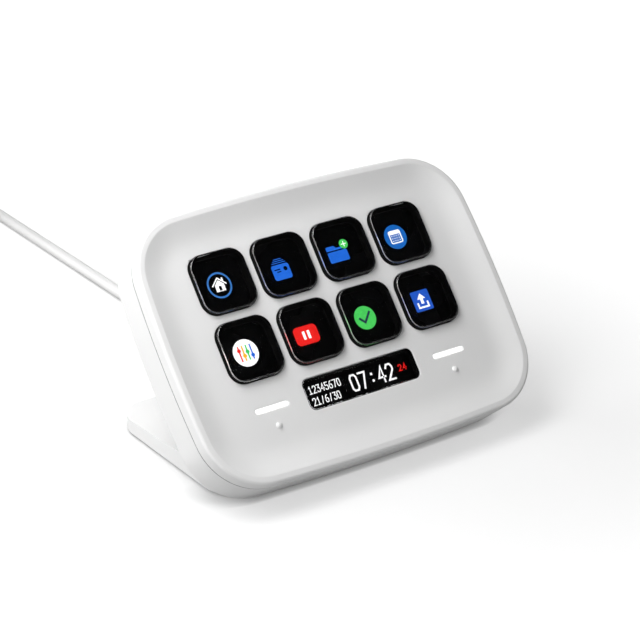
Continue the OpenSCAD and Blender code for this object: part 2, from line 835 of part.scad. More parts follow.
// Outline of the stand in Y and Z, from its front edge along the housing's back
seat_out = z_back - layer_gap;
root_low = body_y - body_h / 2 + back_edge_r;
stand_end = face_y + stand_reach;
stand_top = pad_proud + stand_t;
front_up = (pad_proud - face_height - cos(tilt) * seat_out) / sin(tilt);
root_lip = placed(root_low + root_l, seat_out - root_t);
lip_to_apex = (root_lip.y - stand_top - (stand_end - root_lip.x) * tan(stand_slope))
    / (sin(tilt) + cos(tilt) * tan(stand_slope));
apex = root_lip - lip_to_apex * [cos(tilt), sin(tilt)];
fillet_a = (tilt - stand_slope) / 2;
fillet_c = apex + root_fillet_r / sin((tilt + stand_slope) / 2)
    * [cos(fillet_a), sin(fillet_a)];

function stand_top_z(y) = stand_top + (stand_end - y) * tan(stand_slope);

module stand_side() {
    e = stand_edge_r;
    rear = stand_end - e;
    polygon(concat([placed(front_up, seat_out), placed(root_low + root_l, seat_out)],
        [root_lip], arc(fillet_c, root_fillet_r, tilt + 90, 270 - stand_slope),
        arc([rear, stand_top_z(rear) - e / cos(stand_slope)], e, 90 - stand_slope, 0),
        arc([rear, pad_proud + e], e, 0, -90)));
}

pad_ys = [placed(front_up, seat_out).x + 6, stand_end - 10];

module at_pads() {
    for (y = pad_ys) translate([0, y, 0]) children();
}

module stand() {
    plan_l = 3 * stand_reach;
    color("white") difference() {
        intersection() {
            rotate([90, 0, 90]) translate([0, 0, -stand_w / 2])
                linear_extrude(stand_w) stand_side();
            translate([0, stand_end - plan_l / 2, 0])
                slab(stand_w, plan_l, stand_corner_r, 0, face_height);
            on_face() translate([0, body_y, 0]) slab(body_w - 2 * stand_inset,
                body_h - 2 * stand_inset, corner_r - stand_inset, -plan_l, 0);
        }
        at_pads() pill(pad_l + 2 * pad_gap, pad_w + 2 * pad_gap, 0,
            pad_proud + pad_pocket);
        on_face() at_stand_screws() rod(pilot_d, z_back - stand_screw_l - cut, z_back + cut);
    }
}

module stand_pads() {
    color("gray") at_pads() pill(pad_l, pad_w, 0, pad_proud + pad_pocket);
}

// The cable's route: from the strain relief over the stand, and straight back
relief_tip = placed(-exit_below, z_back - relief_l);
rest_z = 1.8;
cable_route = [[0, relief_tip.x, relief_tip.y],
    [0, 9, 13.6], [0, 12.5, 10.9], [0, 16.5, 8.8], [0, 21, 7.3], [0, 26, 6.5],
    [0, 31, 6.2], [0, 36, 5.9], [0, 42, 5], [0, 48, 3.8], [0, 54, 2.7],
    [0, 61, 2], [0, 70, rest_z], [0, 80, rest_z], [0, 90, rest_z],
    [0, 100, rest_z], [0, 110, rest_z], [0, 120, rest_z], [0, 130, rest_z],
    [0, 140, rest_z], [0, 150, rest_z], [0, 160, rest_z], [0, 170, rest_z],
    [0, 180, rest_z], [0, 190, rest_z], [0, 200, rest_z], [0, 210, 1.9],
    [0, 218, 2.1]];
tail_route = [[-49, 222, 12.6], [-49, 215, 12.3], [-49, 205, 10.6],
    [-49, 195, 8.1], [-49, 185, 5.7], [-49, 176, 4], [-49, 168, 3.2],
    [-49, 160, 3.05]];
coil_columns = 3;
coil_rows = 4;
coil_y = 225;
coil_half = coil_columns * cable_d / 2;
coil_x = -(coil_r + (coil_columns - 1) * cable_d / 2);
coil_low = tie_t + layer_gap;
coil_h = coil_rows * cable_d;

// A round tube swept along points that all lie in one upright plane
module tube(route, d) {
    sides = 8;
    last = len(route) - 1;
    function heading(i) = let (v = route[min(i + 1, last)] - route[max(i - 1, 0)])
        v / norm(v);
    function ring(i) = let (h = heading(i), up = [0, -h.z, h.y] * sign(h.y))
        [for (k = [0:sides - 1]) let (a = 360 * (k + 0.5) / sides)
            route[i] + d / 2 * (cos(a) * [1, 0, 0] + sin(a) * up)];
    points = [for (i = [0:last]) each ring(i)];
    flip = sign((route[last] - route[0]).y);
    walls = [for (i = [0:last - 1], k = [0:sides - 1])
        let (a = i * sides + k, b = i * sides + (k + 1) % sides)
            flip > 0 ? [a, b, b + sides, a + sides]
                : [a, a + sides, b + sides, b]];
    near = [for (k = [0:sides - 1]) flip > 0 ? sides - 1 - k : k];
    far = [for (k = [0:sides - 1]) last * sides
        + (flip > 0 ? k : sides - 1 - k)];
    polyhedron(points, concat(walls, [near, far]));
}

module cable() {
    color("white") tube(cable_route, cable_d);
}

module cable_tail() {
    color("white") tube(tail_route, cable_d);
}

module cable_coil() {
    corner = cable_d / 2;
    color("white") translate([coil_x, coil_y, coil_low + coil_h / 2])
        rotate_extrude() translate([coil_r, 0])
            rounded_rect(2 * coil_half, coil_h, corner, $fn = 24);
}

module cable_tie() {
    gap = 0.1;
    outer_y = coil_r + coil_half + gap;
    inner_y = sqrt((coil_r - coil_half) ^ 2 - (tie_w / 2) ^ 2) - gap;
    high = coil_low + coil_h + gap;
    color("dimgray") translate([coil_x, coil_y, 0]) rotate([90, 0, 90])
        translate([(outer_y + inner_y) / 2, (tie_t + high) / 2, -tie_w / 2])
            linear_extrude(tie_w) difference() {
                rounded_rect(outer_y - inner_y + 2 * tie_t,
                    high - tie_t + 2 * tie_t, 2 * tie_t);
                rounded_rect(outer_y - inner_y, high - tie_t, tie_t);
            }
}

plug_at = tail_route[len(tail_route) - 1];
grip_r = 0.38 * grip_h;
grip_neck_l = 3;

module plug_grip() {
    color("white") translate(plug_at) rotate([90, 0, 0]) {
        slab(grip_w, grip_h, grip_r, grip_neck_l, grip_l);
        cylinder(d1 = cable_d + 1.2, d2 = grip_h - 0.6, h = grip_neck_l);
    }
}

module plug_shell() {
    inner_w = shell_w - 2 * shell_t;
    inner_h = shell_h - 2 * shell_t;
    tongue_t = 0.7;
    color("silver") translate(plug_at) rotate([90, 0, 0])
        translate([0, 0, grip_l]) {
            difference() {
                pill(shell_w, shell_h, 0, shell_l);
                pill(inner_w, inner_h, shell_l / 8, shell_l + cut);
            }
            block(inner_w - inner_h, tongue_t, shell_l / 16, shell_l * 0.75);
        }
}

front_cover();
rear_shell();
stand();
stand_pads();
key_cap(1);  // key_cap_1
key_cap(2);  // key_cap_2
key_cap(3);  // key_cap_3
key_cap(4);  // key_cap_4
key_cap(5);  // key_cap_5
key_cap(6);  // key_cap_6
key_cap(7);  // key_cap_7
key_cap(8);  // key_cap_8
key_membrane();
switch_board();
switch_flex();
bar_leds();
light_bar(-1);  // light_bar_left
light_bar(1);  // light_bar_right
touch_pad(-1);  // touch_pad_left
touch_pad(1);  // touch_pad_right
info_window();
lcd_glass();
lcd_backlight();
lcd_flex();
mid_frame();
frame_screws();
main_board();
microcontroller();
board_parts();
flex_sockets();
cable_socket();
board_screws();
cover_screws();
stand_screws();
strain_relief();
inner_lead();
cable();
cable_coil();
cable_tail();
cable_tie();
plug_grip();
plug_shell();
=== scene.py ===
"""The looks of a desk display keypad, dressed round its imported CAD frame.

Shapes are worked out in the face's own frame, in millimetres: x to the right, y up
the face and z out of it, with zero at the middle of the keys on the flat face.
"""

import json
import math

import bmesh
import bpy
import numpy as np
from mathutils import Matrix, Vector
from mathutils.geometry import delaunay_2d_cdt


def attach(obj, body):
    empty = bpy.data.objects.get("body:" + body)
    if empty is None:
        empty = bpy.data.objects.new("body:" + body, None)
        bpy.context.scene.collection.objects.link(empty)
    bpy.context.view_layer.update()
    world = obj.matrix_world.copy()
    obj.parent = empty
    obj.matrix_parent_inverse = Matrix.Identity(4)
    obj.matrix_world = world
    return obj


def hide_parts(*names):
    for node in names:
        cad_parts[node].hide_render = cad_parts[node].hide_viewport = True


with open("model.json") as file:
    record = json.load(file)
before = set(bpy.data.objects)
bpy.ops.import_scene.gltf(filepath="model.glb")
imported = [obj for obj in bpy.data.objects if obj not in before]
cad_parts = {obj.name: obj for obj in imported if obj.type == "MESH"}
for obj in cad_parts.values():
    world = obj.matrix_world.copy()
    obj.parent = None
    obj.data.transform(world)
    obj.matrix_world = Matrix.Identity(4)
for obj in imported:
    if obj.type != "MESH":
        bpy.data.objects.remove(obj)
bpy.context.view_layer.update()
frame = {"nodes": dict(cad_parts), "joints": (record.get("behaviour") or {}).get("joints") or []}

MM = 0.001
BASE_BODY = "housing"
KEYS = range(1, 9)
SIDES = ("left", "right")

# ---------------------------------------------------------------- the face's frame

inwards = Vector(frame["joints"][0]["axis"]).normalized()
RIGHT = Vector((1, 0, 0))
OUT = -inwards
UP = OUT.cross(RIGHT)
AXES = np.array([RIGHT, UP, OUT])


def span(node):
    """Lowest and highest corner of a CAD node along the face's axes, in millimetres."""
    points = np.array([v.co for v in frame["nodes"][node].data.vertices]) @ AXES.T / MM
    return points.min(0) - ORIGIN, points.max(0) - ORIGIN


KEY_PROUD = 1.5
ORIGIN = np.zeros(3)
cap_low = np.min([span(f"key_cap_{n}")[0] for n in KEYS], axis=0)
cap_high = np.max([span(f"key_cap_{n}")[1] for n in KEYS], axis=0)
ORIGIN = (cap_low + cap_high) / 2
ORIGIN[2] = cap_high[2] - KEY_PROUD


def middle(node):
    """Middle of a CAD node on the face, in millimetres."""
    low, high = span(node)
    return (low + high)[:2] / 2


def on_face(points):
    """Points of the face's frame, in millimetres, as places in metres."""
    return (np.asarray(points, float) + ORIGIN) @ AXES * MM


# ---------------------------------------------------------------- sizes

body_low, body_high = span("front_cover")
BODY_W = body_high[0] - body_low[0]
BODY_H = body_high[1] - body_low[1]
BODY_MIDDLE = (body_low + body_high)[:2] / 2
Z_RIM = body_high[2]
Z_BACK = span("rear_shell")[0][2]
CORNER_R = 16.6
SIDE_BOW_R = 358.0
TOP_BOW_R = 772.0
SEAM_BELOW_RIM = 4.1
SEAM_GAP = 0.26      # a little wider than the CAD's, so that the seam reads as a line
SEAM_EDGE = 0.12     # chamfer of both shells at the seam
LAP_H = 1.1
LAP_GAP = 0.1
WALL_T = 2.0
SKIN_T = 0.95        # the cover's share of the side wall in the lap joint
COVER_T = 1.5
BACK_T = 1.8
RIM_W = 2.0
RIM_T = 1.6
UNDER_RIM_W = 0.4    # how far the rim's flat underside goes on below the dish
UNDER_FLAT_W = 3.0   # how far the face's flat underside goes on below the dish
RIM_EDGE_R = 0.9
CREASE_R = 1.0       # rounding between the rim and the dish
CREASE_REACH = 0.6   # from the crease to the next point of the profile on each side
DISH_W = 10.3
DISH_STEEP_W = 1.5
BACK_EDGE_R = 1.8
BACK_INNER_R = 1.4
BACK_FLAT_GAP = 0.2  # from the inner rounding to where both faces of the back are flat
BACK_FLAT_FROM = WALL_T + BACK_INNER_R + BACK_FLAT_GAP
KEY_SIZE = 16.5
KEY_R = 4.0
KEY_GAP = 0.2
COLLAR_T = 0.7
LAYER_GAP = 0.05
Z_LCD = span("lcd_glass")[1][2]
Z_SEAM = Z_RIM - SEAM_BELOW_RIM
DISH_END = RIM_W + DISH_W


# ---------------------------------------------------------------- mesh helpers

def arc(centre, r, start, end, steps):
    """Points of an arc in degrees, both ends included."""
    a = np.radians(np.linspace(start, end, steps + 1))
    return np.array(centre) + r * np.column_stack([np.cos(a), np.sin(a)])


def outline_arcs():
    """Centres and angles of the housing's outline."""
    side_c = np.array([BODY_W / 2 - SIDE_BOW_R, 0])
    top_c = np.array([0, BODY_H / 2 - TOP_BOW_R])
    side_reach = SIDE_BOW_R - CORNER_R
    top_reach = TOP_BOW_R - CORNER_R
    across = np.linalg.norm(top_c - side_c)
    unit = (top_c - side_c) / across
    along = (side_reach ** 2 - top_reach ** 2 + across ** 2) / (2 * across)
    aside = math.sqrt(side_reach ** 2 - along ** 2)
    corner_c = side_c + along * unit + aside * np.array([-unit[1], unit[0]])
    side_a = math.degrees(math.atan2(*(corner_c - side_c)[::-1]))
    top_a = math.degrees(math.atan2(*(corner_c - top_c)[::-1]))
    return side_c, top_c, corner_c, side_a, top_a


SIDE_C, TOP_C, CORNER_C, SIDE_A, TOP_A = outline_arcs()


def body_loop(inset):
    """The housing's outline, moved inwards. Every inset has the same number of points."""
    side = arc(SIDE_C, SIDE_BOW_R - inset, 0, SIDE_A, 10)
    corner = arc(CORNER_C, CORNER_R - inset, SIDE_A, TOP_A, 22)
    top = arc(TOP_C, TOP_BOW_R - inset, TOP_A, 90, 12)
    quarter = np.vstack([side[:-1], corner[:-1], top[:-1]])
    half = np.vstack([quarter, (0, top[-1][1]), (quarter * (-1, 1))[:0:-1]])
    return np.vstack([half, -half]) + BODY_MIDDLE


def rounded_loop(width, height, r, middle_at=(0, 0), steps=8):
    """A rectangle with round corners."""
    x, y = width / 2 - r, height / 2 - r
    corners = [arc((x, y), r, 0, 90, steps), arc((-x, y), r, 90, 180, steps),
               arc((-x, -y), r, 180, 270, steps), arc((x, -y), r, 270, 360, steps)]
    return np.vstack(corners) + middle_at


def round_loop(r, middle_at=(0, 0), steps=32):
    return arc(middle_at, r, 0, 360, steps)[:-1]


def at_level(loop, z):
    return np.column_stack([loop, np.full(len(loop), z)])


def rounded_profile(points, radii, steps=6):
    """A polyline of (inset, level) whose inner corners are rounded by the given radii."""
    points = [np.array(p, float) for p in points]
    made = [points[0]]
    for before, at, after, r in zip(points, points[1:], points[2:], radii):
        a, b = before - at, after - at
        a, b = a / np.linalg.norm(a), b / np.linalg.norm(b)
        half = math.acos(np.clip(a @ b, -1, 1)) / 2
        if r == 0 or abs(half - math.pi / 2) < 1e-3:
            made.append(at)
            continue
        reach = r / math.tan(half)
        for t in np.linspace(0, 1, steps + 1):
            made.append((1 - t) ** 2 * (at + a * reach) + 2 * t * (1 - t) * at
                        + t ** 2 * (at + b * reach))
    return np.array(made + [points[-1]])


SAME_POINT = 2e-6     # in metres
SAME_CORNER = 1e-7    # in millimetres
HOLES_LEFT_OUT = 2    # makes delaunay_2d_cdt leave out the triangles in the holes
SHARP_FROM = math.radians(35)


class Build:
    """Collects loops and plates of one piece, and joins them by their equal points."""

    def __init__(self):
        self.points, self.faces, self.count = [], [], 0

    def add(self, points, faces):
        self.points.append(np.asarray(points, float))
        self.faces += [[i + self.count for i in f] for f in faces]
        self.count += len(points)

    def skin(self, loops, closed=False):
        """Faces between one loop and the next, all with as many points."""
        n = len(loops[0])
        faces = []
        rows = len(loops) if closed else len(loops) - 1
        for row in range(rows):
            here, there = row * n, (row + 1) % len(loops) * n
            for i in range(n):
                j = (i + 1) % n
                faces.append([here + i, here + j, there + j, there + i])
        self.add(np.vstack(loops), faces)

    def plate(self, outer, holes, z, up=True):
        """A flat face with holes in it."""
        loops = [np.asarray(outer)] + [np.asarray(h) for h in holes]
        points, rings, start = np.vstack(loops), [], 0
        for loop in loops:
            rings.append(list(range(start, start + len(loop))))
            start += len(loop)
        made = delaunay_2d_cdt([Vector(p) for p in points], [], rings,
                               HOLES_LEFT_OUT, SAME_CORNER)
        flat = np.array([tuple(v) for v in made[0]])
        faces = []
        for f in made[2]:
            a, b, c = flat[f[0]], flat[f[1]], flat[f[2]]
            turned = (b[0] - a[0]) * (c[1] - a[1]) - (b[1] - a[1]) * (c[0] - a[0]) > 0
            faces.append(list(f) if turned == up else list(f)[::-1])
        self.add(at_level(flat, z), faces)

    def cap(self, loop, z, up=True):
        ring = list(range(len(loop)))
        self.add(at_level(loop, z), [ring if up else ring[::-1]])

    def piece(self, name, weighted=True):
        """The finished mesh object, smooth apart from its sharp edges."""
        mesh = bpy.data.meshes.new(name)
        points = on_face(np.vstack(self.points))
        mesh.from_pydata(points.tolist(), [], self.faces)
        work = bmesh.new()
        work.from_mesh(mesh)
        bmesh.ops.remove_doubles(work, verts=work.verts, dist=SAME_POINT)
        bmesh.ops.recalc_face_normals(work, faces=work.faces)
        for f in work.faces:
            f.smooth = True
        for e in work.edges:
            if len(e.link_faces) == 2:
                e.smooth = e.calc_face_angle(0) < SHARP_FROM
        work.to_mesh(mesh)
        work.free()
        made = bpy.data.objects.new(name, mesh)
        bpy.context.scene.collection.objects.link(made)
        if weighted:
            normals = made.modifiers.new("normals", "WEIGHTED_NORMAL")
            normals.keep_sharp = True
        return made


def grown_loops(width, height, r, at, profile, steps=8):
    """Loops round a rectangle for a profile of (distance outside its wall, level)."""
    return [at_level(rounded_loop(width + 2 * grow, height + 2 * grow, r + grow, at, steps), z)
            for grow, z in profile]


def block(name, loops):
    """A closed piece, from its lowest loop to its highest."""
    build = Build()
    build.skin(loops)
    for loop, up in ((loops[-1], True), (loops[0], False)):
        build.cap(loop[:, :2], loop[0, 2], up)
    return build.piece(name)


def finish_piece(made, paint, body=BASE_BODY, replaces=()):
    """Gives a piece its paint and its body, and hides the CAD nodes that it stands for."""
    made.data.materials.clear()
    made.data.materials.append(paint)
    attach(made, body)
    if replaces:
        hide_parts(*replaces)
    return made


# ---------------------------------------------------------------- materials

# The band in which nearly all of a noise's values lie
NOISE_LOW, NOISE_HIGH = 0.35, 0.65


def new_material(name):
    made = bpy.data.materials.new(name)
    made.use_nodes = True
    nodes = made.node_tree.nodes
    return made, nodes, made.node_tree.links, nodes["Principled BSDF"]


def grain(nodes, links, shader, scale, height, distance=0.0001, detail=4.0):
    """Fine bumps at a scale given in lumps per metre."""
    place = nodes.new("ShaderNodeTexCoord")
    noise = nodes.new("ShaderNodeTexNoise")
    noise.inputs["Scale"].default_value = scale
    noise.inputs["Detail"].default_value = detail
    bump = nodes.new("ShaderNodeBump")
    bump.inputs["Strength"].default_value = height
    bump.inputs["Distance"].default_value = distance
    links.new(place.outputs["Object"], noise.inputs["Vector"])
    links.new(noise.outputs["Fac"], bump.inputs["Height"])
    links.new(bump.outputs["Normal"], shader.inputs["Normal"])
    return place


def varied(nodes, links, shader, place, socket, scale, low, high):
    """A value of the shader that wanders over the surface between two numbers."""
    noise = nodes.new("ShaderNodeTexNoise")
    noise.inputs["Scale"].default_value = scale
    spread = nodes.new("ShaderNodeMapRange")
    spread.inputs["From Min"].default_value = NOISE_LOW
    spread.inputs["From Max"].default_value = NOISE_HIGH
    spread.inputs["To Min"].default_value = low
    spread.inputs["To Max"].default_value = high
    links.new(place.outputs["Object"], noise.inputs["Vector"])
    links.new(noise.outputs["Fac"], spread.inputs["Value"])
    links.new(spread.outputs["Result"], shader.inputs[socket])


def tinted(nodes, links, shader, place, scale, dark, light):
    """A colour that wanders over the surface between two colours."""
    noise = nodes.new("ShaderNodeTexNoise")
    noise.inputs["Scale"].default_value = scale
    ramp = nodes.new("ShaderNodeValToRGB")
    ramp.color_ramp.elements[0].position = NOISE_LOW
    ramp.color_ramp.elements[1].position = NOISE_HIGH
    ramp.color_ramp.elements[0].color = (*dark, 1)
    ramp.color_ramp.elements[1].color = (*light, 1)
    links.new(place.outputs["Object"], noise.inputs["Vector"])
    links.new(noise.outputs["Fac"], ramp.inputs["Fac"])
    links.new(ramp.outputs["Color"], shader.inputs["Base Color"])


def moulded(name, dark, light, rough, lumps=4500, height=0.12, metallic=0.0, gloss=0.5):
    """Moulded or pressed surface: a fine grain, and colour and gloss that vary a little."""
    made, nodes, links, shader = new_material(name)
    shader.inputs["Metallic"].default_value = metallic
    shader.inputs["Specular IOR Level"].default_value = gloss
    place = grain(nodes, links, shader, lumps, height)
    varied(nodes, links, shader, place, "Roughness", 60, rough - 0.03, rough + 0.04)
    tinted(nodes, links, shader, place, 35, dark, light)
    return made


def clear(name, tint):
    """Clear polished plastic, with a faint waviness in its surface."""
    made, nodes, links, shader = new_material(name)
    shader.inputs["Transmission Weight"].default_value = 1.0
    shader.inputs["IOR"].default_value = 1.49
    place = grain(nodes, links, shader, 180, 0.02, 0.0004, 2.0)
    varied(nodes, links, shader, place, "Roughness", 220, 0, 0.02)
    tinted(nodes, links, shader, place, 90, tint, [min(1, c * 1.02) for c in tint])
    return made


LIT_SPREAD = 0.06


def lit(name, colour, strength=1.0):
    """A lit surface whose light varies a little, as a backlight's does."""
    made, nodes, links, shader = new_material(name)
    shader.inputs["Base Color"].default_value = (*[c * 0.4 for c in colour], 1)
    shader.inputs["Roughness"].default_value = 0.5
    shader.inputs["Emission Color"].default_value = (*colour, 1)
    place = nodes.new("ShaderNodeTexCoord")
    varied(nodes, links, shader, place, "Emission Strength", 900,
           strength * (1 - LIT_SPREAD), strength * (1 + LIT_SPREAD))
    return made


def woven(name, dark, light, threads):
    """A woven strip with a raised thread pattern."""
    made, nodes, links, shader = new_material(name)
    place = nodes.new("ShaderNodeTexCoord")
    weave = nodes.new("ShaderNodeTexMagic")
    weave.turbulence_depth = 1
    weave.inputs["Scale"].default_value = threads
    bump = nodes.new("ShaderNodeBump")
    bump.inputs["Strength"].default_value = 0.6
    bump.inputs["Distance"].default_value = 0.0003
    links.new(place.outputs["Object"], weave.inputs["Vector"])
    links.new(weave.outputs["Fac"], bump.inputs["Height"])
    links.new(bump.outputs["Normal"], shader.inputs["Normal"])
    varied(nodes, links, shader, place, "Roughness", 400, 0.75, 0.95)
    tinted(nodes, links, shader, place, 700, dark, light)
    return made


WHITE = moulded("white_satin", (0.795, 0.795, 0.795), (0.815, 0.815, 0.812), 0.48, gloss=0.4)
WHITE_STAND = moulded("white_stand", (0.795, 0.795, 0.795), (0.815, 0.815, 0.812), 0.5, gloss=0.4)
WHITE_JACKET = moulded("white_jacket", (0.79, 0.79, 0.785), (0.82, 0.82, 0.815), 0.45,
                       lumps=2500, height=0.2)
CLEAR = clear("clear_cap", (1.0, 1.0, 1.0))
SMOKED = clear("smoked_window", (0.97, 0.97, 0.98))
BLACK_MASK = moulded("black_mask", (0.002, 0.002, 0.002), (0.004, 0.004, 0.004), 0.9, gloss=0.1)
DISPLAY = moulded("display_black", (0.0015, 0.0015, 0.002), (0.0025, 0.0025, 0.003), 0.25,
                  lumps=900, height=0.02, gloss=0.2)
LIGHT_BAR = lit("light_bar", (1.0, 1.0, 1.0), 0.85)
RUBBER_DARK = moulded("rubber_dark", (0.004, 0.004, 0.004), (0.007, 0.007, 0.007), 0.9,
                      lumps=3000, height=0.3, gloss=0.1)
# Grey rubber of the stand's pads; the same grey is also the painted shade deep in the seam
RUBBER_GREY_AND_SEAM_SHADE = moulded("rubber_grey_and_seam_shade", (0.09, 0.09, 0.09), (0.12, 0.12, 0.12), 0.75,
                      lumps=3000, height=0.35)
DARK_PLASTIC = moulded("dark_plastic", (0.02, 0.02, 0.021), (0.03, 0.03, 0.03), 0.5)
BOARD = moulded("board_green", (0.008, 0.06, 0.025), (0.012, 0.085, 0.035), 0.35,
                lumps=1500, height=0.15)
FLEX = moulded("flex_amber", (0.35, 0.12, 0.015), (0.5, 0.19, 0.03), 0.35, lumps=800)
CHIP = moulded("chip_black", (0.012, 0.012, 0.012), (0.02, 0.02, 0.02), 0.55,
               lumps=2500, height=0.25)
IVORY = moulded("socket_ivory", (0.62, 0.56, 0.44), (0.72, 0.66, 0.54), 0.45)
TRAY = moulded("tray_metal", (0.55, 0.55, 0.56), (0.68, 0.68, 0.69), 0.35, metallic=1.0)
STEEL = moulded("screw_steel", (0.42, 0.42, 0.43), (0.6, 0.6, 0.61), 0.32, lumps=1800,
                height=0.15, metallic=1.0)
NICKEL = moulded("plug_nickel", (0.55, 0.55, 0.56), (0.72, 0.72, 0.73), 0.22, lumps=1200,
                 height=0.06, metallic=1.0)
COPPER = moulded("pad_copper", (0.55, 0.27, 0.12), (0.72, 0.4, 0.2), 0.3, metallic=1.0)
LED = lit("diode_phosphor", (1.0, 0.93, 0.7), 0.6)
FABRIC = woven("tie_fabric", (0.01, 0.01, 0.011), (0.03, 0.03, 0.032), threads=900)


# ---------------------------------------------------------------- the housing

INFO_W, INFO_H, INFO_R = 35.8, 8.5, 1.7
INFO_GAP = 0.15
BAR_L, BAR_W = 10.0, 1.2
BAR_GAP = 0.08
BAR_R = BAR_W / 2 - 0.001    # just under half, so that no two points of the loop meet
OPENING_EDGE_R = 0.22
BAR_EDGE_R = 0.4
NUB_R, NUB_H = 0.85, 0.8
NUB_FOOT_R = NUB_R + 0.12
NUB_BELOW_BAR = 5.0
NUB_CLOSED_AT = 86           # degrees up the dome's arc, where a flat cap closes it


def key_middle(n):
    return middle(f"key_cap_{n}")


def dish_z(inset):
    """Level of the dish: its slope is even next to the rim and then fades to nothing."""
    fade_w = DISH_W - DISH_STEEP_W
    t = np.clip((DISH_END - inset) / fade_w, 0, 1)
    fall = fade_w * (t ** 3 - t ** 4 / 2) + np.maximum(DISH_END - fade_w - inset, 0)
    return Z_RIM * fall / (fade_w / 2 + DISH_STEEP_W)


def opening(width, height, r, gap, at, edge_r):
    """An opening of the front cover: its edge, as a function of how far that edge is moved
    outwards, and the edge's rounding."""
    width, height, r = width + 2 * gap, height + 2 * gap, r + gap

    def hole(out):
        return rounded_loop(width + 2 * out, height + 2 * out, r + out, at)

    return hole, edge_r


def openings():
    """The openings for the keys, the info window and the light bars."""
    made = [opening(KEY_SIZE, KEY_SIZE, KEY_R, KEY_GAP, key_middle(n), OPENING_EDGE_R)
            for n in KEYS]
    made.append(opening(INFO_W, INFO_H, INFO_R, INFO_GAP, middle("info_window"), OPENING_EDGE_R))
    made += [opening(BAR_L, BAR_W, BAR_R, BAR_GAP, middle(f"light_bar_{side}"), BAR_EDGE_R)
             for side in SIDES]
    return made


def front_cover():
    """The dished moulding: its outer and inner skin, its openings and the two raised dots."""
    build = Build()
    edge = arc((RIM_EDGE_R, Z_RIM - RIM_EDGE_R), RIM_EDGE_R, 180, 90, 10)
    dish = [(u, dish_z(u)) for u in np.linspace(RIM_W + CREASE_REACH, DISH_END, 30)]
    crease = rounded_profile([(RIM_W - CREASE_REACH, Z_RIM), (RIM_W, Z_RIM), dish[0]],
                             [CREASE_R], 8)
    outer = np.vstack([[(SEAM_EDGE, Z_SEAM), (0, Z_SEAM + SEAM_EDGE)], edge, crease, dish[1:]])
    rim_under, lap = Z_RIM - RIM_T, Z_SEAM + LAP_H
    under = [(DISH_END, -COVER_T), (DISH_END - UNDER_FLAT_W, -COVER_T),
             (RIM_W + UNDER_RIM_W, rim_under), (WALL_T, rim_under), (WALL_T, lap),
             (SKIN_T, lap), (SKIN_T, Z_SEAM), (SEAM_EDGE, Z_SEAM)]
    build.skin([at_level(body_loop(u), z) for u, z in outer])
    build.skin([at_level(body_loop(u), z) for u, z in under])
    holes = openings()
    nubs = [middle(f"light_bar_{side}") - (0, NUB_BELOW_BAR) for side in SIDES]
    build.plate(body_loop(DISH_END), [hole(r) for hole, r in holes]
                + [round_loop(NUB_FOOT_R, at) for at in nubs], 0)
    build.plate(body_loop(DISH_END), [hole(0) for hole, _ in holes], -COVER_T, up=False)
    for hole, r in holes:
        rounding = arc((r, -r), r, 90, 180, 6)
        build.skin([at_level(hole(out), z) for out, z in rounding]
                   + [at_level(hole(0), -COVER_T)])
    ball_r = (NUB_R ** 2 + NUB_H ** 2) / (2 * NUB_H)
    foot_angle = math.degrees(math.acos(NUB_R / ball_r))
    dome = arc((0, NUB_H - ball_r), ball_r, foot_angle, NUB_CLOSED_AT, 8)
    for at in nubs:
        build.skin([at_level(round_loop(NUB_FOOT_R, at), 0)]
                   + [at_level(round_loop(r, at), z) for r, z in dome])
        build.cap(round_loop(dome[-1][0], at), dome[-1][1])
    made = build.piece("front_cover_skin")
    return finish_piece(made, WHITE, replaces=["front_cover"])


COVER_SCREW_IN = 5.4
COVER_SCREW_UP = 20.0
COVER_SCREW_DOWN = 22.0
POCKET_R = 2.0
POCKET_EDGE_R = 0.2
POCKET_DEPTH = 4.0
BOSS_R = 2.4
BOSS_TOP = -4.6
HOLE_R = 1.2
RELIEF_HOLE_R = 3.05
STAND_SCREW_PITCH = 28.0
STAND_SCREW_UP = 12.0


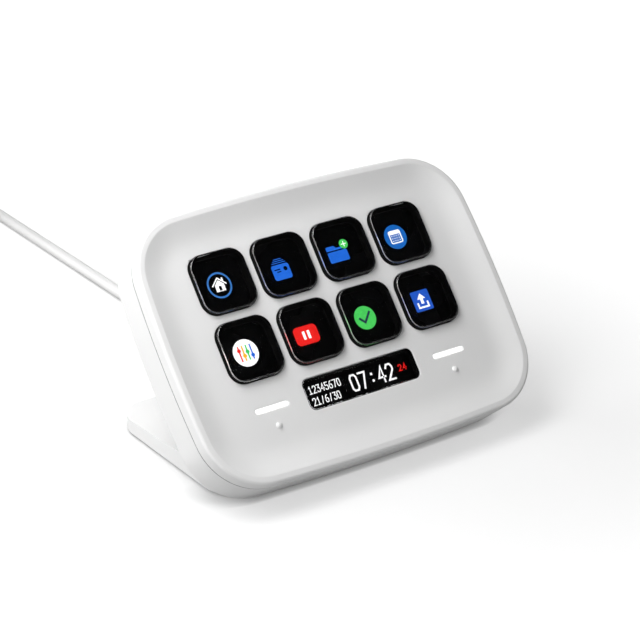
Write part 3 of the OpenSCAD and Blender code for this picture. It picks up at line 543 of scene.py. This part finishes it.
def rear_shell():
    """The back half with its tongue, its four screw pockets and its plain holes."""
    build = Build()
    top = Z_SEAM - SEAM_GAP
    floor_z = Z_BACK + BACK_T
    edge = arc((BACK_EDGE_R, Z_BACK + BACK_EDGE_R), BACK_EDGE_R, 180, 270, 16)
    outer = np.vstack([[(SEAM_EDGE, top), (0, top - SEAM_EDGE)], edge, [(BACK_FLAT_FROM, Z_BACK)]])
    inner_edge = arc((WALL_T + BACK_INNER_R, floor_z + BACK_INNER_R), BACK_INNER_R, 270, 180, 6)
    tongue, tongue_in = Z_SEAM + LAP_H - LAP_GAP, SKIN_T + LAP_GAP
    inner = np.vstack([[(BACK_FLAT_FROM, floor_z)], inner_edge,
                       [(WALL_T, tongue), (tongue_in, tongue), (tongue_in, top),
                        (SEAM_EDGE, top)]])
    build.skin([at_level(body_loop(u), z) for u, z in outer])
    build.skin([at_level(body_loop(u), z) for u, z in inner])
    x = BODY_W / 2 - COVER_SCREW_IN
    pockets = [BODY_MIDDLE + (side * x, y) for side in (-1, 1)
               for y in (COVER_SCREW_UP, -COVER_SCREW_DOWN)]
    plain = [(RELIEF_HOLE_R, middle("strain_relief"))]
    plain += [(HOLE_R, BODY_MIDDLE + (i * STAND_SCREW_PITCH, STAND_SCREW_UP - BODY_H / 2))
              for i in (-1, 0, 1)]
    back_holes = [round_loop(POCKET_R + POCKET_EDGE_R, at) for at in pockets]
    back_holes += [round_loop(r, at) for r, at in plain]
    front_holes = [round_loop(BOSS_R, at) for at in pockets]
    front_holes += [round_loop(r, at) for r, at in plain]
    build.plate(body_loop(BACK_FLAT_FROM), back_holes, Z_BACK, up=False)
    build.plate(body_loop(BACK_FLAT_FROM), front_holes, floor_z)
    seat = Z_BACK + POCKET_DEPTH
    rounding = arc((POCKET_R + POCKET_EDGE_R, Z_BACK + POCKET_EDGE_R), POCKET_EDGE_R, 270, 180, 4)
    walls = [*rounding, (POCKET_R, seat), (HOLE_R, seat), (HOLE_R, BOSS_TOP), (BOSS_R, BOSS_TOP),
             (BOSS_R, floor_z)]
    for at in pockets:
        build.skin([at_level(round_loop(r, at), z) for r, z in walls])
    for r, at in plain:
        build.skin([at_level(round_loop(r, at), z) for z in (Z_BACK, floor_z)])
    made = build.piece("rear_shell_skin")
    return finish_piece(made, WHITE, replaces=["rear_shell"])


# The strip is painted shade: it darkens the seam's gap in place of the gap's own shadow
SHADE_STRIP_FROM, SHADE_STRIP_TO = 0.05, 0.5    # how far the dark strip lies inside the outline
SHADE_STRIP_GAP = 0.01


def seam_painted_shade():
    """A dark strip just inside the seam: painted shade that stands in for the gap's shadow, so
    that the seam reads as a fine line.
    """
    build = Build()
    low, high = Z_SEAM - SEAM_GAP + SHADE_STRIP_GAP, Z_SEAM - SHADE_STRIP_GAP
    corners = ((SHADE_STRIP_FROM, low), (SHADE_STRIP_FROM, high), (SHADE_STRIP_TO, high), (SHADE_STRIP_TO, low))
    build.skin([at_level(body_loop(u), z) for u, z in corners], closed=True)
    made = build.piece("seam_painted_shade", weighted=False)
    return finish_piece(made, RUBBER_GREY_AND_SEAM_SHADE)


# ---------------------------------------------------------------- the keys

KEY_EDGE_R = 0.5
COLLAR_W = 0.7
FOOT_IN = 0.95
FOOT_H = 0.9
# How far the paint reaches out of a hidden wall, out of the cap's wall, and into the clear
PAINT_T = 0.04
PAINT_OUT = 0.11
PAINT_IN = 0.06
# Where the paint ends: above the foot's end and below the soft top edge
PAINT_FOOT_GAP = 0.02
PAINT_TOP_GAP = 0.05


def key_loops(n, profile):
    return grown_loops(KEY_SIZE, KEY_SIZE, KEY_R, key_middle(n), profile, 10)


def key_levels(n):
    """Levels of the foot's end, the collar's underside and the collar's top."""
    low = span(f"key_cap_{n}")[0][2]
    return low, low + FOOT_H, low + FOOT_H + COLLAR_T


def key_cap(n):
    """A clear block with a soft top edge, on a hidden collar and a smaller foot."""
    low, collar_low, collar_top = key_levels(n)
    edge = arc((-KEY_EDGE_R, KEY_PROUD - KEY_EDGE_R), KEY_EDGE_R, 0, 90, 6)
    loops = key_loops(n, [(-FOOT_IN, low), (-FOOT_IN, collar_low), (COLLAR_W, collar_low),
                          (COLLAR_W, collar_top), (0, collar_top), *edge])
    return finish_piece(block(f"key_{n}_clear", loops), CLEAR, f"key_{n}",
                        [f"key_cap_{n}"])


def key_mask(n):
    """The black paint round a key, its collar and its foot, up to its soft top edge."""
    low, collar_low, collar_top = key_levels(n)
    low += PAINT_FOOT_GAP
    high = KEY_PROUD - KEY_EDGE_R - PAINT_TOP_GAP
    outside = [(PAINT_OUT, high), (PAINT_OUT, collar_top + PAINT_T),
               (COLLAR_W + PAINT_T, collar_top + PAINT_T),
               (COLLAR_W + PAINT_T, collar_low - PAINT_T),
               (-FOOT_IN + PAINT_T, collar_low - PAINT_T), (-FOOT_IN + PAINT_T, low)]
    inside = [(-FOOT_IN - PAINT_IN, low), (-FOOT_IN - PAINT_IN, collar_low + PAINT_T),
              (COLLAR_W - PAINT_T, collar_low + PAINT_T),
              (COLLAR_W - PAINT_T, collar_top - PAINT_T), (-PAINT_IN, collar_top - PAINT_T)]
    build = Build()
    build.skin(key_loops(n, [(-PAINT_IN, high), *outside, *inside]), closed=True)
    made = build.piece(f"key_{n}_mask", weighted=False)
    return finish_piece(made, BLACK_MASK, f"key_{n}")


# ---------------------------------------------------------------- the pictures on the display

PICTURE_T = 0.04
STROKE = 0.34
JOINT_LIMIT = 0.4     # keeps the corners of sharp joints from reaching far out
BLUE = lit("picture_blue", (0.007, 0.122, 0.62))
SKY = lit("picture_sky", (0.002, 0.11, 0.44))
NAVY = lit("picture_navy", (0.01, 0.083, 0.5))
RING = lit("picture_ring", (0.03, 0.16, 0.48))
PALE = lit("picture_white", (1.0, 1.0, 1.0))
GREEN = lit("picture_green", (0.055, 0.54, 0.09))
LEAF = lit("picture_leaf", (0.05, 0.55, 0.12))
RED = lit("picture_red", (0.75, 0.008, 0.006))
AMBER = lit("picture_amber", (0.9, 0.42, 0.01))
DIM = lit("picture_dark", (0.01, 0.02, 0.05))


class Picture:
    """Flat shapes and strokes, in layers on the display, joined into one piece."""

    def __init__(self, name, at):
        self.name, self.at, self.parts = name, np.array(at, float), []

    def shape(self, paint, loop, layer=0, holes=()):
        low = Z_LCD + PICTURE_T * layer
        high = low + PICTURE_T
        build = Build()
        loop, holes = np.asarray(loop) + self.at, [np.asarray(h) + self.at for h in holes]
        build.plate(loop, holes, high)
        build.plate(loop, holes, low, up=False)
        for ring in [loop, *holes]:
            build.skin([at_level(ring, low), at_level(ring, high)])
        self.parts.append((build.piece(self.name, weighted=False), paint))

    def line(self, paint, points, width=STROKE, layer=0, closed=False):
        """A stroke of even width with square joints."""
        points = [np.array(p, float) for p in points]
        half, left, right = width / 2, [], []
        last = len(points) - 1
        for i, p in enumerate(points):
            before = points[i - 1] if i or closed else None
            after = points[(i + 1) % len(points)] if i < last or closed else None
            a = (p - before) / np.linalg.norm(p - before) if before is not None else None
            b = (after - p) / np.linalg.norm(after - p) if after is not None else None
            a, b = (b if a is None else a), (a if b is None else b)
            normal = np.array([-a[1] - b[1], a[0] + b[0]])
            normal /= np.linalg.norm(normal)
            reach = half / max(JOINT_LIMIT, normal @ np.array([-a[1], a[0]]))
            grow = 0 if closed else half * ((i == last) - (i == 0))
            left.append(p + normal * reach + a * grow)
            right.append(p - normal * reach + a * grow)
        if closed:
            self.shape(paint, right, layer, [left])
        else:
            self.shape(paint, right + left[::-1], layer)

    def ring(self, paint, r, width):
        self.shape(paint, round_loop(r, steps=48), 0, [round_loop(r - width, steps=48)])

    def disc(self, paint, r, at=(0, 0), layer=0):
        self.shape(paint, round_loop(r, at, 48), layer)

    def card(self, paint, width, height, r, at=(0, 0), layer=0, holes=()):
        self.shape(paint, rounded_loop(width, height, r, at, 5), layer, holes)

    def finish(self):
        first = self.parts[0][0]
        paints = []
        first.data.materials.clear()
        joined = bmesh.new()
        for made, paint in self.parts:
            if paint not in paints:
                paints.append(paint)
            for polygon in made.data.polygons:
                polygon.material_index = paints.index(paint)
            joined.from_mesh(made.data)
        for paint in paints:
            first.data.materials.append(paint)
        joined.to_mesh(first.data)
        joined.free()
        for made, _ in self.parts[1:]:
            bpy.data.objects.remove(made)
        first.name = self.name
        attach(first, BASE_BODY)
        return first


def picture_home(p):
    p.ring(RING, 3.62, 0.48)
    p.shape(PALE, [(-1.4, -1.7), (1.4, -1.7), (1.4, 0.15), (0, 1.45), (-1.4, 0.15)],
            0, [rounded_loop(0.85, 1.3, 0.12, (0, -0.85), 3)])
    p.line(PALE, [(-2.05, 0.12), (0, 2.05), (2.05, 0.12)], 0.34)
    p.shape(PALE, rounded_loop(0.5, 1.0, 0.05, (1.3, 1.4), 2))


def picture_cards(p):
    p.card(BLUE, 5.5, 4.3, 0.7, (0, -0.9), holes=[
        round_loop(0.6, (1.45, -0.2)), rounded_loop(1.9, 0.32, 0.1, (-1.1, -0.1), 3),
        rounded_loop(1.3, 0.32, 0.1, (-0.75, -0.75), 3)])
    for i, width in enumerate((4.4, 3.5, 2.5)):
        p.card(BLUE, width, 0.2, 0.09, (0, 1.72 + 0.52 * i))


def picture_folder(p):
    p.card(BLUE, 6.3, 3.1, 0.4, (-0.2, -1.1))
    p.shape(BLUE, [(-3.35, 0.8), (2.2, 0.8), (2.2, 1.35), (-0.1, 1.35), (-0.7, 2.05),
                   (-3.1, 2.05), (-3.35, 1.8)])
    p.disc(GREEN, 1.35, (2.6, 1.9), 1)
    p.line(PALE, [(1.9, 1.9), (3.3, 1.9)], 0.2, 2)
    p.line(PALE, [(2.6, 1.2), (2.6, 2.6)], 0.2, 3)


def picture_calendar(p):
    p.disc(SKY, 3.55)
    p.card(PALE, 4.0, 3.8, 0.6, layer=1, holes=[rounded_loop(3.3, 2.35, 0.2, (0, -0.4), 3)])
    for i in range(4):
        for j in range(3):
            p.card(PALE, 0.34, 0.26, 0.05, (-1.12 + 0.75 * i, 0.32 - 0.7 * j), 1)


def picture_sliders(p):
    p.disc(PALE, 3.75)
    paints = (RED, AMBER, LEAF, BLUE)
    for i, paint in enumerate(paints):
        x = -1.8 + 1.2 * i
        p.line(paint, [(x, -1.9), (x, 1.9)], 0.42, 1)
        p.disc(paint, 0.56, (x, (0.9, -0.7, 0.2, -1.0)[i]), 2)


def picture_pause(p):
    p.card(RED, 7.4, 5.2, 1.3)
    for x in (-0.75, 0.75):
        p.card(PALE, 0.8, 2.3, 0.15, (x, 0), 1)


def picture_check(p):
    p.disc(GREEN, 3.35)
    p.line(DIM, [(-1.7, 0.05), (-0.45, -1.25), (1.8, 1.25)], 0.62, 1)


def picture_upload(p):
    p.card(NAVY, 5.8, 5.9, 0.4)
    p.shape(PALE, [(-0.45, -0.9), (0.45, -0.9), (0.45, 0.5), (1.35, 0.5), (0, 2.1), (-1.35, 0.5),
                   (-0.45, 0.5)], 1)
    p.line(PALE, [(-1.6, -0.7), (-1.6, -1.9), (1.6, -1.9), (1.6, -0.7)], 0.5, 1)


DIGITS = {
    "0": [[(0.9, 0), (0, 1.2), (0, 5.8), (0.9, 7), (3.1, 7), (4, 5.8), (4, 1.2), (3.1, 0)]],
    "1": [[(0.4, 5.6), (2, 7), (2, 0)], [(0.2, 0), (3.8, 0)]],
    "2": [[(0, 5.6), (0.9, 7), (3.1, 7), (4, 5.8), (4, 4.4), (0, 0), (4, 0)]],
    "3": [[(0, 7), (4, 7), (1.8, 4.2), (3.1, 4.1), (4, 3), (4, 1.2), (3.1, 0), (0.9, 0),
           (0, 1.2)]],
    "4": [[(3, 0), (3, 7), (0, 2.2), (4.2, 2.2)]],
    "5": [[(3.8, 7), (0.2, 7), (0.2, 4), (3, 4.1), (4, 3), (4, 1.2), (3, 0), (0.9, 0), (0, 1)]],
    "6": [[(3.4, 7), (1.6, 6.4), (0, 3.6), (0, 1.2), (0.9, 0), (3.1, 0), (4, 1.2), (4, 2.8),
           (3.1, 4), (0.4, 3.6)]],
    "7": [[(0, 7), (4, 7), (1.4, 0)]],
}
CLOSED_DIGITS = "0"


def digits(p, paint, text, left, low, height, width, pitch, stroke):
    """A row of figures, drawn on a grid of 4 by 7. A colon is two dots and a slash is a
    slanting stroke."""
    for i, mark in enumerate(text):
        x = left + i * pitch
        if mark == ":":
            for y in (0.28, 0.72):
                p.card(paint, stroke * 1.3, stroke * 1.3, 0.02,
                       (x + width / 2, low + height * y))
            continue
        if mark == "/":
            p.line(paint, [(x + width * 0.2, low), (x + width * 0.8, low + height)], stroke)
            continue
        for stroke_points in DIGITS.get(mark, []):
            points = [(x + a * width / 4, low + b * height / 7) for a, b in stroke_points]
            p.line(paint, points, stroke, closed=mark in CLOSED_DIGITS)


def picture_clock():
    p = Picture("screen_clock", middle("info_window"))
    digits(p, PALE, "12345670", -15.0, 0.5, 1.95, 0.85, 1.3, 0.24)
    digits(p, PALE, "21/6/30", -15.0, -2.75, 1.95, 0.85, 1.3, 0.24)
    digits(p, PALE, "07:42", -1.9, -2.2, 4.3, 2.0, 2.95, 0.5)
    digits(p, RED, "24", 13.9, -0.6, 1.6, 0.9, 1.45, 0.3)
    return p.finish()


# How far each key's picture lies from the key's middle, to the right and up
PICTURE_SHIFTS = ((0.2, -0.15), (0.25, -0.2), (-0.15, -0.05), (0, -0.15),
                  (0.05, -0.15), (0.05, -0.15), (0, -0.2), (0.05, -0.1))
PICTURES = (picture_home, picture_cards, picture_folder, picture_calendar,
            picture_sliders, picture_pause, picture_check, picture_upload)


# ---------------------------------------------------------------- window, light bars, small parts

INFO_FLANGE_W = 1.0
INFO_EDGE_R = 0.2
INFO_PAINT_T = 0.02
INFO_PAINT_OUT = 0.09
INFO_FOOT_PAINT_T = 0.03
BAR_TOP_R = 0.25


def info_window():
    """The dark clear block with a hidden flange, and the black paint round its walls."""
    at = middle("info_window")
    low, high = span("info_window")
    flange_top = -COVER_T - LAYER_GAP
    flange_low = flange_top - COLLAR_T

    def loops(profile):
        return grown_loops(INFO_W, INFO_H, INFO_R, at, profile)

    edge = arc((-INFO_EDGE_R, high[2] - INFO_EDGE_R), INFO_EDGE_R, 0, 90, 4)
    walls = loops([(0, low[2]), (0, flange_low), (INFO_FLANGE_W, flange_low),
                   (INFO_FLANGE_W, flange_top), (0, flange_top), *edge])
    finish_piece(block("info_window_clear", walls), SMOKED,
                 replaces=["info_window"])

    t, top, bottom = INFO_PAINT_T, high[2] - INFO_EDGE_R, low[2] + PAINT_FOOT_GAP
    outside = [(INFO_PAINT_OUT, top), (INFO_PAINT_OUT, flange_top + t),
               (INFO_FLANGE_W + t, flange_top + t), (INFO_FLANGE_W + t, flange_low - t),
               (INFO_FOOT_PAINT_T, flange_low - t), (INFO_FOOT_PAINT_T, bottom)]
    inside = [(-PAINT_IN, bottom), (-PAINT_IN, flange_low + t),
              (INFO_FLANGE_W - t, flange_low + t), (INFO_FLANGE_W - t, flange_top - t),
              (-PAINT_IN, flange_top - t)]
    mask = Build()
    mask.skin(loops([(-PAINT_IN, top), *outside, *inside]), closed=True)
    return finish_piece(mask.piece("info_window_mask", weighted=False), BLACK_MASK)


def light_bar(side):
    """A lit bar with a soft top edge, which fills its slot in the cover."""
    low, high = span(f"light_bar_{side}")
    edge = arc((-BAR_TOP_R, high[2] - BAR_TOP_R), BAR_TOP_R, 0, 90, 4)
    walls = grown_loops(BAR_L, BAR_W, BAR_R, middle(f"light_bar_{side}"),
                        [(0, low[2]), *edge])
    return finish_piece(block(f"light_bar_{side}_lit", walls), LIGHT_BAR,
                        replaces=[f"light_bar_{side}"])


def dress_cad(node, paint, bevel):
    """Keeps a CAD node, with its paint and, if asked, softer edges."""
    made = frame["nodes"][node]
    made.data.materials.clear()
    made.data.materials.append(paint)
    for polygon in made.data.polygons:
        polygon.material_index = 0
    if bevel:
        soften(made, bevel)


FLAT_WITHIN = math.radians(0.5)
SOFT_FROM = math.radians(30)


def soften(made, bevel):
    """Joins the triangles of flat faces, and then rounds the edges between them."""
    flat = made.modifiers.new("flat faces", "DECIMATE")
    flat.decimate_type = "DISSOLVE"
    flat.angle_limit = FLAT_WITHIN
    soft = made.modifiers.new("soft edges", "BEVEL")
    soft.width = bevel * MM
    soft.segments = 3
    soft.limit_method = "ANGLE"
    soft.angle_limit = SOFT_FROM
    soft.harden_normals = False


STAND_CORNER_R = 10 * MM
STAND_CORNER_STEPS = 8
STAND_EDGE = 0.5


def stand():
    """A copy of the CAD stand with its two front corners rounded, which lie under the
    housing. Cuts across it give the corners their points."""
    r = STAND_CORNER_R
    solid = frame["nodes"]["stand"]
    made = solid.copy()
    made.name = "stand_soft"
    made.data = solid.data.copy()
    bpy.context.scene.collection.objects.link(made)
    work = bmesh.new()
    work.from_mesh(made.data)
    front = min(v.co.y for v in work.verts)
    half = max(v.co.x for v in work.verts)
    for a in np.radians(np.linspace(0, 90, STAND_CORNER_STEPS + 1)[1:]):
        parts = [*work.verts, *work.edges, *work.faces]
        bmesh.ops.bisect_plane(work, geom=parts, plane_no=(0, 1, 0),
                               plane_co=(0, front + r * (1 - math.cos(a)), 0))
    for v in work.verts:
        ahead = min(r, max(0.0, front + r - v.co.y))
        reach = half - r + math.sqrt(r * r - ahead * ahead)
        v.co.x = min(max(v.co.x, -reach), reach)
    work.to_mesh(made.data)
    work.free()
    for polygon in made.data.polygons:
        polygon.material_index = 0
    soften(made, STAND_EDGE)
    return finish_piece(made, WHITE_STAND, replaces=["stand"])


# Paint and edge softness of each CAD node that is kept
CAD_LOOKS = {
    "stand_pads": (RUBBER_GREY_AND_SEAM_SHADE, 0.2),
    "key_membrane": (RUBBER_DARK, 0), "switch_board": (BLACK_MASK, 0),
    "switch_flex": (FLEX, 0), "bar_leds": (LED, 0), "touch_pad_left": (COPPER, 0),
    "touch_pad_right": (COPPER, 0), "lcd_glass": (DISPLAY, 0), "lcd_backlight": (TRAY, 0),
    "lcd_flex": (FLEX, 0), "mid_frame": (DARK_PLASTIC, 0), "frame_screws": (STEEL, 0),
    "main_board": (BOARD, 0), "microcontroller": (CHIP, 0), "board_parts": (CHIP, 0),
    "flex_sockets": (IVORY, 0), "cable_socket": (IVORY, 0), "board_screws": (STEEL, 0),
    "cover_screws": (STEEL, 0.08), "stand_screws": (STEEL, 0),
    "strain_relief": (WHITE_JACKET, 0.15), "inner_lead": (WHITE_JACKET, 0),
    "cable_tie": (FABRIC, 0.12), "plug_grip": (WHITE_JACKET, 0.5),
    "plug_shell": (NICKEL, 0.05),
}


# ---------------------------------------------------------------- the cable

CABLE_D = 3.5
REST_Z = 1.8
RELIEF_L = 12.0
COIL_AT = (-24.5, 225.0)
COIL_R = 21.0
COIL_LOW = 0.55
COIL_END = 3060      # degrees, which is eight and a half rounds
COIL_STEP = 6
# The coil's angles in degrees: for each layer where it moves one place sideways, where it
# climbs to the next layer, and how far round such a change takes
SHIFTS = {0: (300, 660), 1: (1020, 1380), 2: (1740, 2100), 3: (2460, 2820)}
CLIMBS = (840, 1560, 2280)
CHANGE = 60
RELIEF_TIP = on_face([(*middle("strain_relief"), Z_BACK - RELIEF_L)])[0] / MM
CABLE_ROUTE = [(9, 13.6), (12.5, 10.9), (16.5, 8.8), (21, 7.3), (26, 6.5), (31, 6.2),
               (36, 5.9), (42, 5), (48, 3.8), (54, 2.7), (61, 2), (70, REST_Z),
               (80, REST_Z), (90, REST_Z), (100, REST_Z), (110, REST_Z), (120, REST_Z),
               (130, REST_Z), (140, REST_Z), (150, REST_Z), (160, REST_Z),
               (170, REST_Z), (180, REST_Z), (190, REST_Z), (200, REST_Z),
               (210, 1.9), (218, 2.1)]
TAIL_ROUTE = [(215, 12.3), (205, 10.6), (195, 8.1), (185, 5.7), (176, 4), (168, 3.2),
              (160, 3.05)]
TAIL_X = -49.0
LINE_STEP = 2.0


def ease(t):
    """A smooth step from zero to one."""
    t = min(max(t, 0.0), 1.0)
    return t * t * (3 - 2 * t)


def coil_points():
    """The coil, three places wide and four layers high. The lead moves to the next place
    within a sixth of a round."""
    points = []
    for angle in range(0, COIL_END + 1, COIL_STEP):
        column, layer = coil_place(angle)
        r = COIL_R + (1 - column) * CABLE_D
        a = math.radians(angle)
        points.append((COIL_AT[0] + r * math.cos(a), COIL_AT[1] + r * math.sin(a),
                       COIL_LOW + CABLE_D / 2 + layer * CABLE_D))
    return points


def coil_place(angle):
    """Column, counted inwards, and layer of the coil at an angle."""
    column = 0.0
    for layer, starts in SHIFTS.items():
        for start in starts:
            column += (1 if layer % 2 == 0 else -1) * ease((angle - start) / CHANGE)
    return column, sum(ease((angle - start) / CHANGE) for start in CLIMBS)


def smooth_line(points):
    """A smooth curve through points, with places about LINE_STEP apart."""
    p = np.array(points, float)
    p = np.vstack([2 * p[0] - p[1], p, 2 * p[-1] - p[-2]])
    made = []
    for i in range(1, len(p) - 2):
        n = max(1, round(np.linalg.norm(p[i + 1] - p[i]) / LINE_STEP))
        for k in range(n):
            t = k / n
            made.append(0.5 * (2 * p[i] + (p[i + 1] - p[i - 1]) * t
                               + (2 * p[i - 1] - 5 * p[i] + 4 * p[i + 1] - p[i + 2]) * t ** 2
                               + (3 * p[i] - p[i - 1] - 3 * p[i + 1] + p[i + 2]) * t ** 3))
    return np.vstack([made, p[-2]])


def cable():
    """The lead from the strain relief to the plug as one tube."""
    route = [tuple(RELIEF_TIP)] + [(0, y, z) for y, z in CABLE_ROUTE] + coil_points()
    route += [(TAIL_X, y, z) for y, z in TAIL_ROUTE]
    line = smooth_line(route) * MM
    curve = bpy.data.curves.new("usb_lead", "CURVE")
    curve.dimensions = "3D"
    curve.bevel_depth = CABLE_D / 2 * MM
    curve.bevel_resolution = 6
    curve.use_fill_caps = True
    spline = curve.splines.new("POLY")
    spline.points.add(len(line) - 1)
    spline.points.foreach_set("co", np.column_stack([line, np.ones(len(line))]).ravel())
    spline.use_smooth = True
    made = bpy.data.objects.new("usb_lead", curve)
    bpy.context.scene.collection.objects.link(made)
    finish_piece(made, WHITE_JACKET,
                 replaces=["cable", "cable_coil", "cable_tail"])


# ---------------------------------------------------------------- camera, floor and light

# The camera, solved from the grid of keys in the photograph
CAMERA_AT = Vector((-0.3126, -0.4452, 0.2812))
CAMERA_RIGHT = Vector((0.81761, -0.57578, 0.0))
CAMERA_AHEAD = Vector((0.52365, 0.74358, -0.41579))
LENS, SENSOR = 124.4, 36
FLOOR_REACH = 6.0


def camera():
    data = bpy.data.cameras.new("camera")
    data.lens = LENS
    data.sensor_width = SENSOR
    data.clip_start = 0.01
    made = bpy.data.objects.new("camera", data)
    bpy.context.scene.collection.objects.link(made)
    above = CAMERA_RIGHT.cross(CAMERA_AHEAD)
    turned = Matrix([CAMERA_RIGHT, above, -CAMERA_AHEAD]).transposed()
    made.matrix_world = Matrix.Translation(CAMERA_AT) @ turned.to_4x4()
    bpy.context.scene.camera = made


# The floor's shade for bounced light and to the eye
FLOOR_SHADE = 0.37
FLOOR_SEEN = 0.5
# The light that the floor gives to the eye, near the object and farther away; less of it near the
# object paints a soft shadow round it
FLOOR_LIFT = (0.51, 0.9)
LIFT_REACH = (0.06, 0.24)
# That light fades next to what touches the floor, which paints a contact shadow: the reach of
# this shadow in front of and under the object, between which places it grows, its depth, and
# where only the cable is left
CONTACT_REACH = (0.0012, 0.012)
CONTACT_Y = (-0.03, -0.01)
CONTACT_DARK = 0.3
CABLE_FROM = (0.06, 0.09)
CABLE_SHARE = 0.1


def seen_directly(nodes, links):
    """One where the camera, a reflection or a clear piece shows the surface, else zero."""
    path = nodes.new("ShaderNodeLightPath")
    value = path.outputs["Is Camera Ray"]
    for other in ("Is Transmission Ray", "Is Glossy Ray"):
        either = nodes.new("ShaderNodeMath")
        either.operation = "MAXIMUM"
        links.new(value, either.inputs[0])
        links.new(path.outputs[other], either.inputs[1])
        value = either.outputs[0]
    return value


def ranged(nodes, links, value, low, high, at_low, at_high):
    """A value that goes smoothly from one number to another."""
    made = nodes.new("ShaderNodeMapRange")
    made.interpolation_type = "SMOOTHSTEP"
    for name, number in (("From Min", low), ("From Max", high), ("To Min", at_low),
                         ("To Max", at_high)):
        made.inputs[name].default_value = number
    links.new(value, made.inputs["Value"])
    return made.outputs["Result"]


def multiplied(nodes, links, a, b):
    made = nodes.new("ShaderNodeMath")
    made.operation = "MULTIPLY"
    links.new(a, made.inputs[0])
    links.new(b, made.inputs[1])
    return made.outputs[0]


def floor():
    """A pale floor that shows the object's shadow, with a painted soft shadow near the object and
    a painted contact shadow where things touch it, and fades to white away from it.
    """
    mesh = bpy.data.meshes.new("floor")
    side = FLOOR_REACH
    mesh.from_pydata([(-side, -side, 0), (side, -side, 0), (side, side, 0), (-side, side, 0)],
                     [], [(0, 1, 2, 3)])
    made = bpy.data.objects.new("floor", mesh)
    bpy.context.scene.collection.objects.link(made)
    paint, nodes, links, shader = new_material("floor_white")
    shader.inputs["Roughness"].default_value = 0.9
    shader.inputs["Specular IOR Level"].default_value = 0.1
    shader.inputs["Emission Color"].default_value = (1, 1, 1, 1)
    seen = seen_directly(nodes, links)
    shade = ranged(nodes, links, seen, 0, 1, FLOOR_SHADE, FLOOR_SEEN)
    links.new(shade, shader.inputs["Base Color"])
    place = nodes.new("ShaderNodeTexCoord")
    away = nodes.new("ShaderNodeVectorMath")
    away.operation = "LENGTH"
    links.new(place.outputs["Object"], away.inputs[0])
    lift = ranged(nodes, links, away.outputs["Value"], *LIFT_REACH, *FLOOR_LIFT)
    split = nodes.new("ShaderNodeSeparateXYZ")
    links.new(place.outputs["Object"], split.inputs[0])
    near = nodes.new("ShaderNodeAmbientOcclusion")
    near.samples = 8
    reach = ranged(nodes, links, split.outputs["Y"], *CONTACT_Y, *CONTACT_REACH)
    share = ranged(nodes, links, away.outputs["Value"], *CABLE_FROM, 1, CABLE_SHARE)
    links.new(multiplied(nodes, links, reach, share), near.inputs["Distance"])
    contact = ranged(nodes, links, near.outputs["AO"], 0, 1, CONTACT_DARK, 1)
    shown = multiplied(nodes, links, multiplied(nodes, links, seen, lift), contact)
    links.new(shown, shader.inputs["Emission Strength"])
    mesh.materials.append(paint)


# Each lamp: direction round from +X and up from the floor in degrees, distance, side and watts
LAMPS = {
    "near_left": (180, 65, 0.26, 0.16, 0.35),
    "near_front_left": (210, 40, 0.26, 0.16, 0.14),
    "near_back_left": (150, 65, 0.26, 0.16, 0.255),
    "low_front_left": (225, 18, 1.2, 0.8, 4.9),
    "low_back_left": (135, 18, 1.2, 0.8, 8.0),
    "low_back_right": (45, 18, 1.2, 0.8, 2.0),
    "low_right": (0, 18, 1.2, 0.8, 1.9),
}
WORLD_LIGHT = 0.01
SKY_FADE = (0.34, 0.54)   # height of the backdrop's soft upper edge, as a sine
AIM = Vector((0, 0, 0.03))


def lamp(name, around, up, distance, side, power):
    """A square lamp that faces the object."""
    data = bpy.data.lights.new(name, "AREA")
    data.shape = "SQUARE"
    data.size = side
    data.energy = power
    made = bpy.data.objects.new(name, data)
    bpy.context.scene.collection.objects.link(made)
    a, e = math.radians(around), math.radians(up)
    away = Vector((math.cos(a) * math.cos(e), math.sin(a) * math.cos(e), math.sin(e)))
    made.location = AIM + away * distance
    made.rotation_mode = "QUATERNION"
    made.rotation_quaternion = away.to_track_quat("Z", "Y")


def lights():
    """The lamps, and a world that gives little light and shows as a white backdrop."""
    world = bpy.data.worlds.new("studio")
    bpy.context.scene.world = world
    world.use_nodes = True
    background = world.node_tree.nodes["Background"]
    background.inputs["Color"].default_value = (1, 1, 1, 1)
    nodes, links = world.node_tree.nodes, world.node_tree.links
    place = nodes.new("ShaderNodeTexCoord")
    split = nodes.new("ShaderNodeSeparateXYZ")
    links.new(place.outputs["Generated"], split.inputs[0])
    sky = ranged(nodes, links, split.outputs["Z"], *SKY_FADE, 1, WORLD_LIGHT)
    shown = nodes.new("ShaderNodeMix")
    links.new(seen_directly(nodes, links), shown.inputs["Factor"])
    shown.inputs["A"].default_value = WORLD_LIGHT
    links.new(sky, shown.inputs["B"])
    links.new(shown.outputs["Result"], background.inputs["Strength"])
    for name, setting in LAMPS.items():
        lamp(name, *setting)


# ---------------------------------------------------------------- all of it

camera()
cable()
front_cover()
rear_shell()
seam_painted_shade()
stand()
info_window()
for bar_side in SIDES:
    light_bar(bar_side)
for key, picture, shift in zip(KEYS, PICTURES, PICTURE_SHIFTS):
    key_cap(key)
    key_mask(key)
    art = Picture(f"screen_picture_{key}", key_middle(key) + shift)
    picture(art)
    art.finish()
picture_clock()
for cad_node, (look, soft_edge) in CAD_LOOKS.items():
    dress_cad(cad_node, look, soft_edge)
floor()
lights()
bpy.context.scene.view_settings.view_transform = "Standard"
